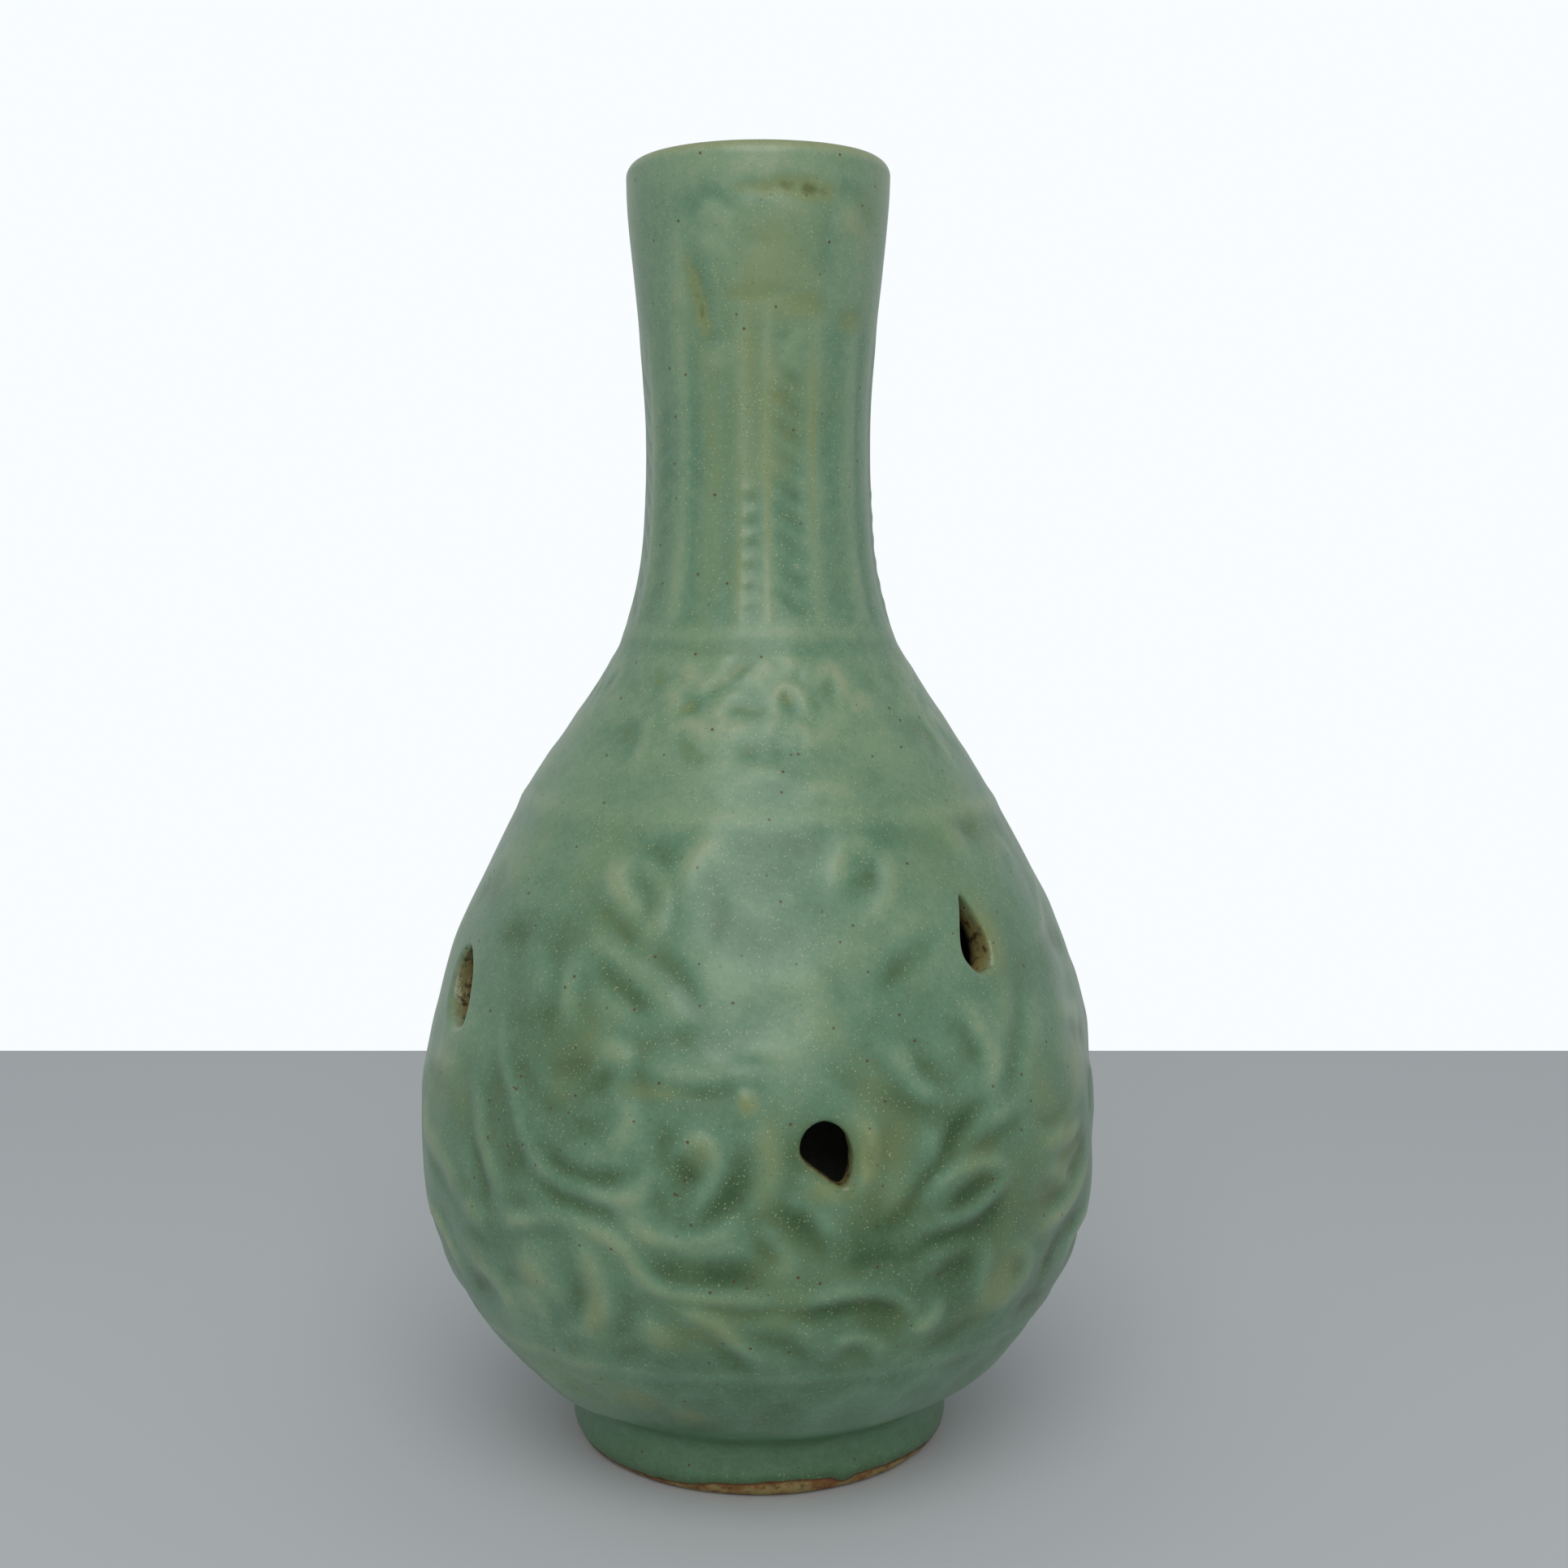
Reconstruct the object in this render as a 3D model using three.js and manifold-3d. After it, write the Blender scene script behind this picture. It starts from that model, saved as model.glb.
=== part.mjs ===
// A pear-shaped stoneware bottle vase with a pierced belly and an inner liner that holds the water.
// Each mesh is one section that the potter throws or presses in a mould, and the sections are luted
// together with slip, so a thin gap stands for the slip at every seam.
// Millimetres, +Z up, origin at the centre of the foot's standing face, and -Y is the front.
import * as THREE from "three";
import { mergeVertices } from "three/addons/utils/BufferGeometryUtils.js";
import Module from "manifold-3d";

const wasm = await Module();
wasm.setup();

// Driving dimensions.
const HEIGHT = 300;
const SLIP = 0.3;
const BELLY_WALL = 7;
const SHOULDER_WALL = 5.4;
const NECK_WALL = 6;
const LINER_WALL = 4.5;
const SEGMENTS = 48;

// Heights of the luted seams.
const FOOT_SEAM = 16;
const EQUATOR_SEAM = 78;
const SHOULDER_SEAM = 152.5;
const NECK_SEAM = 190.5;
const LIP_SEAM = 290;

// Outside of the vase above the foot, as [height, radius].
const OUTLINE = [
  [16, 46],
  [19.5, 53],
  [24, 60.3],
  [33, 67.8],
  [45, 74.6],
  [60, 79.2],
  [78, 80.8],
  [96, 79.3],
  [112, 75.3],
  [130, 68.8],
  [150, 58.2],
  [172, 44.1],
  [190, 33.1],
  [206, 28.2],
  [225, 26.4],
  [245, 26.6],
  [270, 28.7],
  [292, 30.8],
  [300, 31],
];

// The neck's bore stays this narrow below this height, so that its lower face is wide.
const THROAT = { radius: 20.5, top: 225 };

// The liner meets the neck's lower face and stands on the base disc.
const LINER_FLOOR = 6;
const LINER_OUTLINE = [
  [15.3, 33.5],
  [60, 36],
  [105, 34.5],
  [150, 29],
  [190.2, 25.6],
];

// The lip's two rounded corners.
const ROUNDING = { outside: 3.4, inside: 2.2 };

// Foot ring and the disc that drops into it.
const FOOT = { face: [38, 42], widest: 45.6, top: 45, inner: 33.2, seat: 36.4 };
const LEDGE_HEIGHT = 8.7;
const BASE_DISC = { radius: 36, bottom: 9, top: 15, dome: 1.2 };

// The belly's openings: the turn round the axis in degrees, the height of the middle, and an egg or
// a leaf shape through smooth points [across, up] about that middle. The mould repeats at the back.
const OPENINGS = [
  {
    turn: 10.7,
    height: 89.6,
    points: [[0, 5.8], [3.6, 3.6], [4.9, -0.8], [3.4, -5.6], [0, -4.2], [-4.2, -1], [-4.6, 2.4]],
  },
  {
    turn: 42.6,
    height: 129,
    points: [[0.4, 8], [2.8, 3.4], [4.4, -2.6], [2.8, -7], [-2.4, -6.2], [-4.4, -2.6], [-2, 4]],
  },
  {
    turn: -62.5,
    height: 114.6,
    points: [[-3.6, 7.6], [1.8, 4.4], [6, -1.4], [6.4, -6.4], [1, -7.6], [-5, -3.4], [-6.6, 3]],
  },
  {
    turn: -82,
    height: 97,
    points: [[0, 6.6], [4.8, 4.4], [5.7, -1], [4, -5.6], [0, -6.3], [-4, -5.6], [-5.7, -1], [-4.8, 4.4]],
  },
];
const REPEATS = 2;
const PLUG_REACH = { from: 48, to: 93 };

// Radius at a height on a smooth curve through [height, radius] points (cubic Hermite, with the slope
// at a point taken from its two neighbours).
function radiusOn(outline, height) {
  const last = outline.length - 1;
  let i = outline.findIndex(([h]) => h > height) - 1;
  if (i < 0) i = height <= outline[0][0] ? 0 : last - 1;
  const slope = (k) => {
    const [h0, r0] = outline[Math.max(k - 1, 0)];
    const [h1, r1] = outline[Math.min(k + 1, last)];
    return (r1 - r0) / (h1 - h0);
  };
  const [h0, r0] = outline[i];
  const [h1, r1] = outline[i + 1];
  const span = h1 - h0;
  const t = (height - h0) / span;
  const a = r0 * (1 + 2 * t) + span * slope(i) * t;
  const b = r1 * (3 - 2 * t) + span * slope(i + 1) * (t - 1);
  return a * (1 - t) ** 2 + b * t ** 2;
}

// Inside radius at a height, for a wall of the given thickness measured square to the surface.
function insideOf(outline, height, wall) {
  const step = 0.5;
  const rise = radiusOn(outline, height + step) - radiusOn(outline, height - step);
  return radiusOn(outline, height) - wall * Math.hypot(1, rise / (2 * step));
}

// Heights from low to high, in equal steps near the wanted length.
function heights(low, high, step) {
  const count = Math.max(1, Math.round((high - low) / step));
  return Array.from({ length: count + 1 }, (_, i) => low + ((high - low) * i) / count);
}

// A solid of revolution about +Z from a closed profile of [radius, height] points, listed up the
// outside and down the inside.
function revolve(profile) {
  const points = profile.map(([radius, height]) => new THREE.Vector2(radius, height));
  const onAxis = profile[0][0] === 0 && profile[profile.length - 1][0] === 0;
  if (!onAxis) points.push(points[0].clone());
  return new THREE.LatheGeometry(points, SEGMENTS).rotateX(Math.PI / 2);
}

// A wall between two heights: the outline outside and the same curve inside, a wall's thickness in.
function shell(outline, low, high, wall, { step = 8, narrowest = 0 } = {}) {
  const outside = heights(low, high, step).map((h) => [radiusOn(outline, h), h]);
  const inside = heights(low, high, step * 1.5)
    .reverse()
    .map((h) => [Math.max(narrowest, insideOf(outline, h, wall)), h]);
  return revolve([...outside, ...inside]);
}

// manifold-3d solids made from three.js geometry, and back.
function toSolid(geometry) {
  const bare = geometry.clone();
  bare.deleteAttribute("normal");
  bare.deleteAttribute("uv");
  const merged = mergeVertices(bare, 1e-3);
  const mesh = new wasm.Mesh({
    numProp: 3,
    vertProperties: merged.attributes.position.array,
    triVerts: new Uint32Array(merged.index.array),
  });
  return new wasm.Manifold(mesh);
}

function toGeometry(solid) {
  const mesh = solid.getMesh();
  const geometry = new THREE.BufferGeometry();
  geometry.setAttribute("position", new THREE.BufferAttribute(mesh.vertProperties, 3));
  geometry.setIndex(new THREE.BufferAttribute(mesh.triVerts, 1));
  geometry.computeVertexNormals();
  return geometry;
}

// A plug through the wall at one opening, pointing straight out from the axis.
function openingPlug({ turn, height, points }, repeat) {
  const outline = points.map(([across, up]) => new THREE.Vector3(across, up, 0));
  const curve = new THREE.CatmullRomCurve3(outline, true);
  const shape = new THREE.Shape(curve.getPoints(16).slice(0, -1));
  const { from, to } = PLUG_REACH;
  const plug = new THREE.ExtrudeGeometry(shape, { depth: to - from, bevelEnabled: false });
  plug.translate(0, 0, from).rotateX(Math.PI / 2).translate(0, 0, height);
  return plug.rotateZ(THREE.MathUtils.degToRad(turn + (360 / REPEATS) * repeat));
}

// Foot ring: a bevelled standing face, a flared side, and a ledge inside for the base disc.
function footRing() {
  const [inFace, outFace] = FOOT.face;
  return revolve([
    [inFace, 0],
    [outFace, 0],
    [44.4, 1.8],
    [FOOT.widest, 4.6],
    [45.2, 10],
    [FOOT.top, FOOT_SEAM],
    [FOOT.seat, FOOT_SEAM],
    [FOOT.seat, LEDGE_HEIGHT],
    [FOOT.inner, LEDGE_HEIGHT],
    [36.8, 1.2],
  ]);
}

// Base disc: flat where it sits on the ledge, slightly hollow underneath.
function baseDisc() {
  const { radius, bottom, top, dome } = BASE_DISC;
  return revolve([
    [0, bottom + dome],
    [FOOT.inner - 4, bottom],
    [radius, bottom],
    [radius, top],
    [0, top],
  ]);
}

function lowerBelly() {
  const low = FOOT_SEAM + SLIP;
  return shell(OUTLINE, low, EQUATOR_SEAM, BELLY_WALL, { step: 7, narrowest: FOOT.seat + 0.2 });
}

function upperBelly() {
  const wall = shell(OUTLINE, EQUATOR_SEAM + SLIP, SHOULDER_SEAM, BELLY_WALL);
  const repeats = Array.from({ length: REPEATS }, (_, i) => i);
  const plugs = OPENINGS.flatMap((o) => repeats.map((i) => toSolid(openingPlug(o, i))));
  return toGeometry(plugs.reduce((solid, plug) => solid.subtract(plug), toSolid(wall)));
}

function shoulderBand() {
  return shell(OUTLINE, SHOULDER_SEAM + SLIP, NECK_SEAM - SLIP, SHOULDER_WALL);
}

// Neck: its lower face is wide, because both the shoulder and the liner are luted to it.
function neck() {
  const low = NECK_SEAM;
  const high = LIP_SEAM - SLIP;
  const bore = (h) => {
    const even = insideOf(OUTLINE, h, NECK_WALL);
    return h < THROAT.top ? Math.min(even, THROAT.radius) : even;
  };
  const outside = heights(low, high, 10).map((h) => [radiusOn(OUTLINE, h), h]);
  const inside = heights(low, high, 16).reverse().map((h) => [bore(h), h]);
  return revolve([...outside, ...inside]);
}

// Lip: rounded over a quarter turn outside and a smaller one inside.
function lip() {
  const outer = radiusOn(OUTLINE, HEIGHT - 4);
  const inner = insideOf(OUTLINE, LIP_SEAM, NECK_WALL);
  const quarter = (centre, radius, from, count) =>
    Array.from({ length: count + 1 }, (_, i) => {
      const angle = from + (i / count) * (Math.PI / 2);
      return [centre + radius * Math.cos(angle), HEIGHT - radius + radius * Math.sin(angle)];
    });
  return revolve([
    [radiusOn(OUTLINE, LIP_SEAM), LIP_SEAM],
    ...quarter(outer - ROUNDING.outside, ROUNDING.outside, 0, 4),
    ...quarter(inner + ROUNDING.inside, ROUNDING.inside, Math.PI / 2, 3),
    [inner, LIP_SEAM],
  ]);
}

// Liner: an open jar inside the belly, with its own floor.
function innerLiner() {
  const [bottom] = LINER_OUTLINE[0];
  const [top] = LINER_OUTLINE[LINER_OUTLINE.length - 1];
  const outside = heights(bottom, top, 22).map((h) => [radiusOn(LINER_OUTLINE, h), h]);
  const inside = heights(bottom + LINER_FLOOR, top, 28)
    .reverse()
    .map((h) => [radiusOn(LINER_OUTLINE, h) - LINER_WALL, h]);
  return revolve([[0, bottom], ...outside, ...inside, [0, bottom + LINER_FLOOR]]);
}

const glaze = { color: 0x688c76, roughness: 0.22, metalness: 0 };
const stoneware = { color: 0x8a7a66, roughness: 0.85, metalness: 0 };

const vase = new THREE.Group();
function add(name, geometry, finish) {
  const mesh = new THREE.Mesh(geometry, new THREE.MeshStandardMaterial(finish));
  mesh.name = name;
  vase.add(mesh);
}

add("foot_ring", footRing(), glaze);
add("base_disc", baseDisc(), stoneware);
add("lower_belly", lowerBelly(), glaze);
add("upper_belly", upperBelly(), glaze);
add("shoulder_band", shoulderBand(), glaze);
add("neck", neck(), glaze);
add("mouth_lip", lip(), glaze);
add("inner_liner", innerLiner(), stoneware);

export default vase;
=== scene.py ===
"""A pierced celadon bottle vase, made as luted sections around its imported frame.

Lengths in the classes are millimetres and angles are degrees, measured round the axis from the front
(-Y) towards +X. A mesh is scaled to metres when it is made.
"""

import logging
import math
from dataclasses import dataclass, field, replace
from enum import Enum

import bpy
import numpy as np
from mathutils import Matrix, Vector


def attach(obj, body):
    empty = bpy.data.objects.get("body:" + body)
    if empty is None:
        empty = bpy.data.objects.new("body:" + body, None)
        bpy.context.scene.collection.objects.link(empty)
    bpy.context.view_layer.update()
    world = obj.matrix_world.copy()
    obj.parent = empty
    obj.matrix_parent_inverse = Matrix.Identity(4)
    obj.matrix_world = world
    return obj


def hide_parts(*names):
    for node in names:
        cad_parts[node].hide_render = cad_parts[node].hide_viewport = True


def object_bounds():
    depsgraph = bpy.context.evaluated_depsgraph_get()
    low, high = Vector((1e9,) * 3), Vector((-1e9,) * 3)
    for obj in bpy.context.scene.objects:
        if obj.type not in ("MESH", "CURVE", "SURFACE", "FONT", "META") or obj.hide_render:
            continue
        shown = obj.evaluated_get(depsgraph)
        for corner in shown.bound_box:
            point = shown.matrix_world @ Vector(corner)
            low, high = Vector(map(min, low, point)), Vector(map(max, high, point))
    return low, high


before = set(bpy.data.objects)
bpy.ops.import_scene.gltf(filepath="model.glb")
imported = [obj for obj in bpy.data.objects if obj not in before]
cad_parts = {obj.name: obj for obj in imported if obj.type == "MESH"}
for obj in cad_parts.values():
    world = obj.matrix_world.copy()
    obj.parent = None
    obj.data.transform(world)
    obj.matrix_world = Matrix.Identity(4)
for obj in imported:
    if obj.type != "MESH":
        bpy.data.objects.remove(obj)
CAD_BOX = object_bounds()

LOG = logging.getLogger("vase")
MM = 0.001
BODY = "root"
FOOT_SEAM = 16.15
WIDEST_SEAM = 78.15
SHOULDER_SEAM = 152.65
NECK_SEAM = 190.35
LIP_SEAM = 289.85
# The third mark is rust where the openings' edges are scorched and, at higher values, painted shade inside
# the openings and the body.
MARKS = ("pool", "ochre", "scorch_and_shade", "bare")
ALL_BARE = 5.0
FRONT_AND_BACK = (0.0, 180.0)
Point = tuple[float, float]
Array = np.ndarray
Colour = tuple[float, float, float, float]
Socket = bpy.types.NodeSocket


class Slot(Enum):
    """The record's material slots."""

    GLAZE = "celadon_glaze"
    CLAY = "bare_stoneware"


# ---- Curves


def hermite(knots: Array, values: Array, at: Array) -> Array:
    """Reads a smooth curve through knots: between two knots it is the cubic that meets both values,
    with the slope at a knot taken from the straight line between its two neighbours.

    Args:
        knots: rising places, shape (n,).
        values: the curve's value at each knot, shape (n,).
        at: places to read, any shape.

    Returns:
        The curve's values, in the shape of at.
    """
    slopes = np.gradient(values, knots)
    i = np.clip(np.searchsorted(knots, at, side="right") - 1, 0, len(knots) - 2)
    span = knots[i + 1] - knots[i]
    t = np.clip((at - knots[i]) / span, 0.0, 1.0)
    start = values[i] * (1 + 2 * t) + span * slopes[i] * t
    end = values[i + 1] * (3 - 2 * t) + span * slopes[i + 1] * (t - 1)
    return start * (1 - t) ** 2 + end * t**2


def through(points: tuple[Point, ...], per_span: int = 14, closed: bool = False) -> Array:
    """Carries a Catmull-Rom curve through given points.

    Args:
        points: the points, two or more.
        per_span: samples between two neighbours.
        closed: whether the last point joins the first.

    Returns:
        Samples along the curve, shape (n, 2).
    """
    p = np.array(points, float)
    if closed:
        p = np.vstack([p[-1:], p, p[:2]])
    else:
        p = np.vstack([2 * p[0] - p[1], p, 2 * p[-1] - p[-2]])
    t = (np.arange(per_span) / per_span)[None, :, None]
    a, b, c, d = (p[k : len(p) - 3 + k, None, :] for k in range(4))
    curve = 0.5 * (2 * b + (c - a) * t + (2 * a - 5 * b + 4 * c - d) * t**2)
    curve = (curve + 0.5 * (3 * b - a - 3 * c + d) * t**3).reshape(-1, 2)
    return curve if closed else np.vstack([curve, p[-2:-1]])


def ease(value: Array, low: float, high: float) -> Array:
    """Rises from 0 at low to 1 at high along the curve 3t^2 - 2t^3."""
    t = np.clip((value - low) / (high - low), 0.0, 1.0)
    return t * t * (3 - 2 * t)


def bell(away: Array, width: float) -> Array:
    """Returns exp(-(away / width)^2), a rounded bump that is 1 in its middle."""
    return np.exp(-((away / width) ** 2))


def apart(theta: Array, angle: float) -> Array:
    """Returns how far angles lie from another one, between -180 and 180 degrees."""
    return (theta - angle + 180.0) % 360.0 - 180.0


def round_angles(columns: int) -> Array:
    """Returns evenly spaced angles once round the axis, from the front."""
    return np.arange(columns) * 360.0 / columns


def ripple(turn: Array, *parts: tuple[float, float, float]) -> Array:
    """Adds waves round the axis, each an (amount, number of waves, phase) triple; turn is in radians."""
    return sum(amount * np.sin(count * turn + phase) for amount, count, phase in parts)


def spin(turn: Array, r: Array, z: Array) -> Array:
    """Puts radii and heights round the axis.

    Args:
        turn: angles in radians.
        r: distances from the axis.
        z: heights.

    Returns:
        Positions, shape (..., 3).
    """
    turn, r, z = np.broadcast_arrays(turn, r, z)
    return np.stack([r * np.sin(turn), -r * np.cos(turn), z], axis=-1)


@dataclass(frozen=True)
class Levels:
    """A value that changes with height on the vase.

    Attributes:
        start: its value at the bottom.
        steps: smooth changes, each (from this height, to this height, by this much).
    """

    start: float
    steps: tuple[tuple[float, float, float], ...]

    def at(self, z: Array) -> Array:
        """Returns the value at each height."""
        return self.start + sum(change * ease(z, low, high) for low, high, change in self.steps)


@dataclass(frozen=True)
class Outline:
    """The vase's outside as a height and radius curve.

    The curve runs from the foot's waist to the lip. The frame's height and width set its scale, so
    the drawn points are only proportions.
    """

    drawn_height: float = 300.0
    drawn_width: float = 161.6
    points: tuple[Point, ...] = (
        (0.0, 43.6), (4.6, 45.5), (9.5, 45.1), (12.6, 45.3), (14.4, 47.0), (16.2, 50.2),
        (19.5, 55.4), (24.0, 60.4), (33.0, 67.8), (45.0, 74.6), (60.0, 79.1), (78.0, 80.6),
        (96.0, 79.2), (112.0, 75.2), (128.0, 69.8), (145.0, 61.0), (160.0, 52.1), (175.0, 41.9),
        (190.0, 33.0), (205.0, 28.4), (222.0, 26.6), (240.0, 26.3), (258.0, 27.4), (275.0, 29.1),
        (290.0, 30.5), (300.0, 30.8),
    )

    def scales(self) -> tuple[float, float]:
        """Returns the frame's height and width over the drawn ones."""
        low, high = CAD_BOX
        return (
            (high[2] - low[2]) / MM / self.drawn_height,
            (high[0] - low[0]) / MM / self.drawn_width,
        )

    def radius(self, z: Array) -> Array:
        """Returns the radius at each height."""
        tall, wide = self.scales()
        heights, radii = np.array(self.points).T
        return hermite(heights * tall, radii * wide, np.asarray(z, float))

    def slope(self, z: Array) -> Array:
        """Returns the change of radius per millimetre of height, read over half a millimetre."""
        return self.radius(np.asarray(z) + 0.25) * 2 - self.radius(np.asarray(z) - 0.25) * 2

    def normal(self, z: Array) -> tuple[Array, Array]:
        """Returns the outward normal's radial and upward parts."""
        slope = self.slope(z)
        length = np.sqrt(1 + slope**2)
        return 1 / length, -slope / length

    def place(self, theta: Array, z: Array, out: Array) -> Array:
        """Puts points on the wall: along the outline's normal, out millimetres from the outline.

        Args:
            theta: angles round the axis.
            z: heights on the outline.
            out: distances outwards, negative inside the wall.

        Returns:
            Positions in millimetres, shape (..., 3).
        """
        radial, upward = self.normal(z)
        return spin(np.radians(theta), self.radius(z) + radial * out, z + upward * out)

    def levels(self, low: float, high: float, count: int) -> Array:
        """Returns count + 1 heights from low to high, evenly spaced along the wall."""
        fine = np.linspace(low, high, 2000)
        length = np.concatenate([[0], np.cumsum(np.hypot(np.diff(fine), np.diff(self.radius(fine))))])
        return np.interp(np.linspace(0, length[-1], count + 1), length, fine)


# ---- Relief


@dataclass(frozen=True)
class Stroke:
    """One line of the moulded relief: a rounded ridge, or a hollow when its height is negative.

    Its cross-section is height * exp(-(distance / width)^2), and it thins out towards both ends.
    """

    height: float
    width: float
    points: tuple[Point, ...]

    END_HEIGHT = 0.35
    END_LENGTH = 0.22
    REACH = 2.6


Strokes = tuple[Stroke, ...]


def raised(height: float, width: float, *points: Point) -> Stroke:
    """Makes a ridge through (angle, height) points."""
    return Stroke(height, width, points)


def sunk(depth: float, width: float, *points: Point) -> Stroke:
    """Makes a hollow through (angle, height) points."""
    return Stroke(-depth, width, points)


@dataclass(frozen=True)
class Handwork:
    """How the relief softens and how the glaze lies over it.

    A layer of waves is (amount, width in millimetres, seed).

    Attributes:
        scale: the strokes' height in the wall, over the drawn one.
        inset: how far the plain wall lies inside the outline, which leaves room for the ridges.
        hollow_blur: the blur of the hollows alone.
        blur: the blur of the whole relief.
        uneven: waves of the wall.
        evenness: how much of them there is: none on the foot, little on the neck.
        near: the blur of the height that the glaze's skin follows.
        around: the blur that stands for the wall around.
        pooling: the glaze's depth for each millimetre below the wall around.
        carving: its depth for each millimetre of a stroke.
        run_and_shade: its depth by height, deeper and darker towards the foot, partly because it runs down
            the vase and partly as painted shade on the lower belly, which faces down.
        drift: waves of its depth.
        ridge_ochre: ochre where it thins over ridges.
        patches: waves of ochre.
        shoulder: where the shoulder band is.
        shoulder_ochre: ochre in each millimetre of the band's hollows.
    """

    scale: float = 0.62
    inset: float = 0.35
    hollow_blur: float = 0.7
    blur: float = 0.75
    uneven: tuple[tuple[float, float, int], ...] = ((0.28, 9.0, 1), (0.11, 3.2, 2))
    evenness: Levels = Levels(0.0, ((14.0, 20.0, 1.0), (188.0, 196.0, -0.75)))
    near: float = 1.0
    around: float = 4.2
    pooling: float = 0.42
    carving: Levels = Levels(0.12, ((152.0, 158.0, 0.18), (188.0, 194.0, -0.12)))
    run_and_shade: Levels = Levels(
        0.06,
        ((22.0, 50.0, 0.04), (70.0, 125.0, -0.10), (125.0, 195.0, -0.15), (222.0, 250.0, 0.07),
         (288.0, 295.0, -0.07)),
    )
    drift: tuple[tuple[float, float, int], ...] = ((0.045, 14.0, 3), (0.03, 4.0, 4))
    ridge_ochre: float = 0.14
    patches: tuple[tuple[float, float, int], ...] = ((0.11, 11.0, 5), (0.07, 3.0, 6))
    shoulder: Levels = Levels(0.0, ((150.0, 158.0, 1.0), (186.0, 192.0, -1.0)))
    shoulder_ochre: float = 0.8


@dataclass
class ReliefMap:
    """Heights of the relief on a regular grid of angles and heights, which every section reads.

    Attributes:
        outline: the smooth wall under the relief.
        columns: angles round the vase.
        step: millimetres between two rows.
        seed: the first seed of its random waves.
        z: the rows' heights.
        theta: the columns' angles.
        ridges: how far the strokes stand out, before they are softened.
        hollows: how deep they sink in.
        height: the finished relief, outwards from the outline.
        pool: the glaze's depth, about 0.5.
        ochre: how ochre it is, from 0.
    """

    outline: Outline
    columns: int = 1080
    step: float = 0.5
    seed: int = 11
    z: Array = field(init=False)
    theta: Array = field(init=False)
    ridges: Array = field(init=False)
    hollows: Array = field(init=False)
    height: Array = field(init=False)
    pool: Array = field(init=False)
    ochre: Array = field(init=False)

    def __post_init__(self) -> None:
        """Lays out the grid."""
        tall = (CAD_BOX[1][2] - CAD_BOX[0][2]) / MM
        self.z = np.arange(0.0, tall + self.step / 2, self.step)
        self.theta = np.arange(self.columns) * (360.0 / self.columns) - 180.0
        shape = (len(self.z), self.columns)
        self.ridges, self.hollows, self.height, self.ochre = (np.zeros(shape) for _ in range(4))

    def grid(self) -> tuple[Array, Array, Array]:
        """Returns the rows' heights and the columns' angles in degrees and in radians, to broadcast."""
        theta = self.theta[None, :]
        return self.z[:, None], theta, np.radians(theta)

    def lay(self, ridges: Array | float = 0.0, hollows: Array | float = 0.0) -> None:
        """Adds whole maps of ridges and hollows; where they meet others the higher or deeper wins."""
        self.ridges = np.maximum(self.ridges, ridges)
        self.hollows = np.maximum(self.hollows, hollows)

    def stamp(self, strokes: Strokes, turns: tuple[float, ...] = (0.0,)) -> None:
        """Presses strokes into the map at each turn round the axis.

        Args:
            strokes: the strokes, with angles from the front.
            turns: angles at which the whole set repeats.
        """
        layers = {1: np.zeros_like(self.ridges), -1: np.zeros_like(self.ridges)}
        for stroke in strokes:
            self._press(stroke, layers[1 if stroke.height > 0 else -1])
        for turn in turns:
            shift = round(turn / 360.0 * self.columns)
            self.lay(np.roll(layers[1], shift, axis=1), np.roll(layers[-1], shift, axis=1))

    def _press(self, stroke: Stroke, layer: Array) -> None:
        """Adds one stroke to a layer, reading distances along the wall's surface.

        Args:
            stroke: the stroke.
            layer: the map that takes it, changed in place.
        """
        line = through(stroke.points)
        reach = stroke.REACH * stroke.width
        middle = line[:, 0].mean()
        around = np.radians(line[:, 0] - middle) * self.outline.radius(line[:, 1])
        tilt = np.sqrt(1 + self.outline.slope(np.array([line[:, 1].mean()]))[0] ** 2)
        centre = (line[:, 1].min() + line[:, 1].max()) / 2
        rows = np.flatnonzero(np.abs(self.z - centre) < np.ptp(line[:, 1]) / 2 + reach)
        widest = np.abs(around).max() + reach
        degrees = np.degrees(widest / self.outline.radius(self.z[rows]).min())
        first = math.floor((middle - degrees + 180.0) / 360.0 * self.columns)
        last = math.ceil((middle + degrees + 180.0) / 360.0 * self.columns)
        cols = np.arange(first, last + 1)
        angle = cols * (360.0 / self.columns) - 180.0 - middle
        z = self.z[rows][:, None]
        x = np.radians(angle)[None, :] * self.outline.radius(z)
        dx = x[..., None] - around
        dz = (z[..., None] - line[:, 1]) * tilt
        distance = dx * dx + dz * dz
        nearest = distance.argmin(axis=-1)
        distance = np.take_along_axis(distance, nearest[..., None], axis=-1)[..., 0]
        along = np.linspace(0.0, 1.0, len(line))[nearest]
        inner = ease(np.minimum(along, 1 - along), 0.0, stroke.END_LENGTH)
        ends = stroke.END_HEIGHT + (1 - stroke.END_HEIGHT) * inner
        value = abs(stroke.height) * ends * np.exp(-distance / stroke.width**2)
        picked = np.ix_(rows, cols % self.columns)
        layer[picked] = np.maximum(layer[picked], value)

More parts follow.
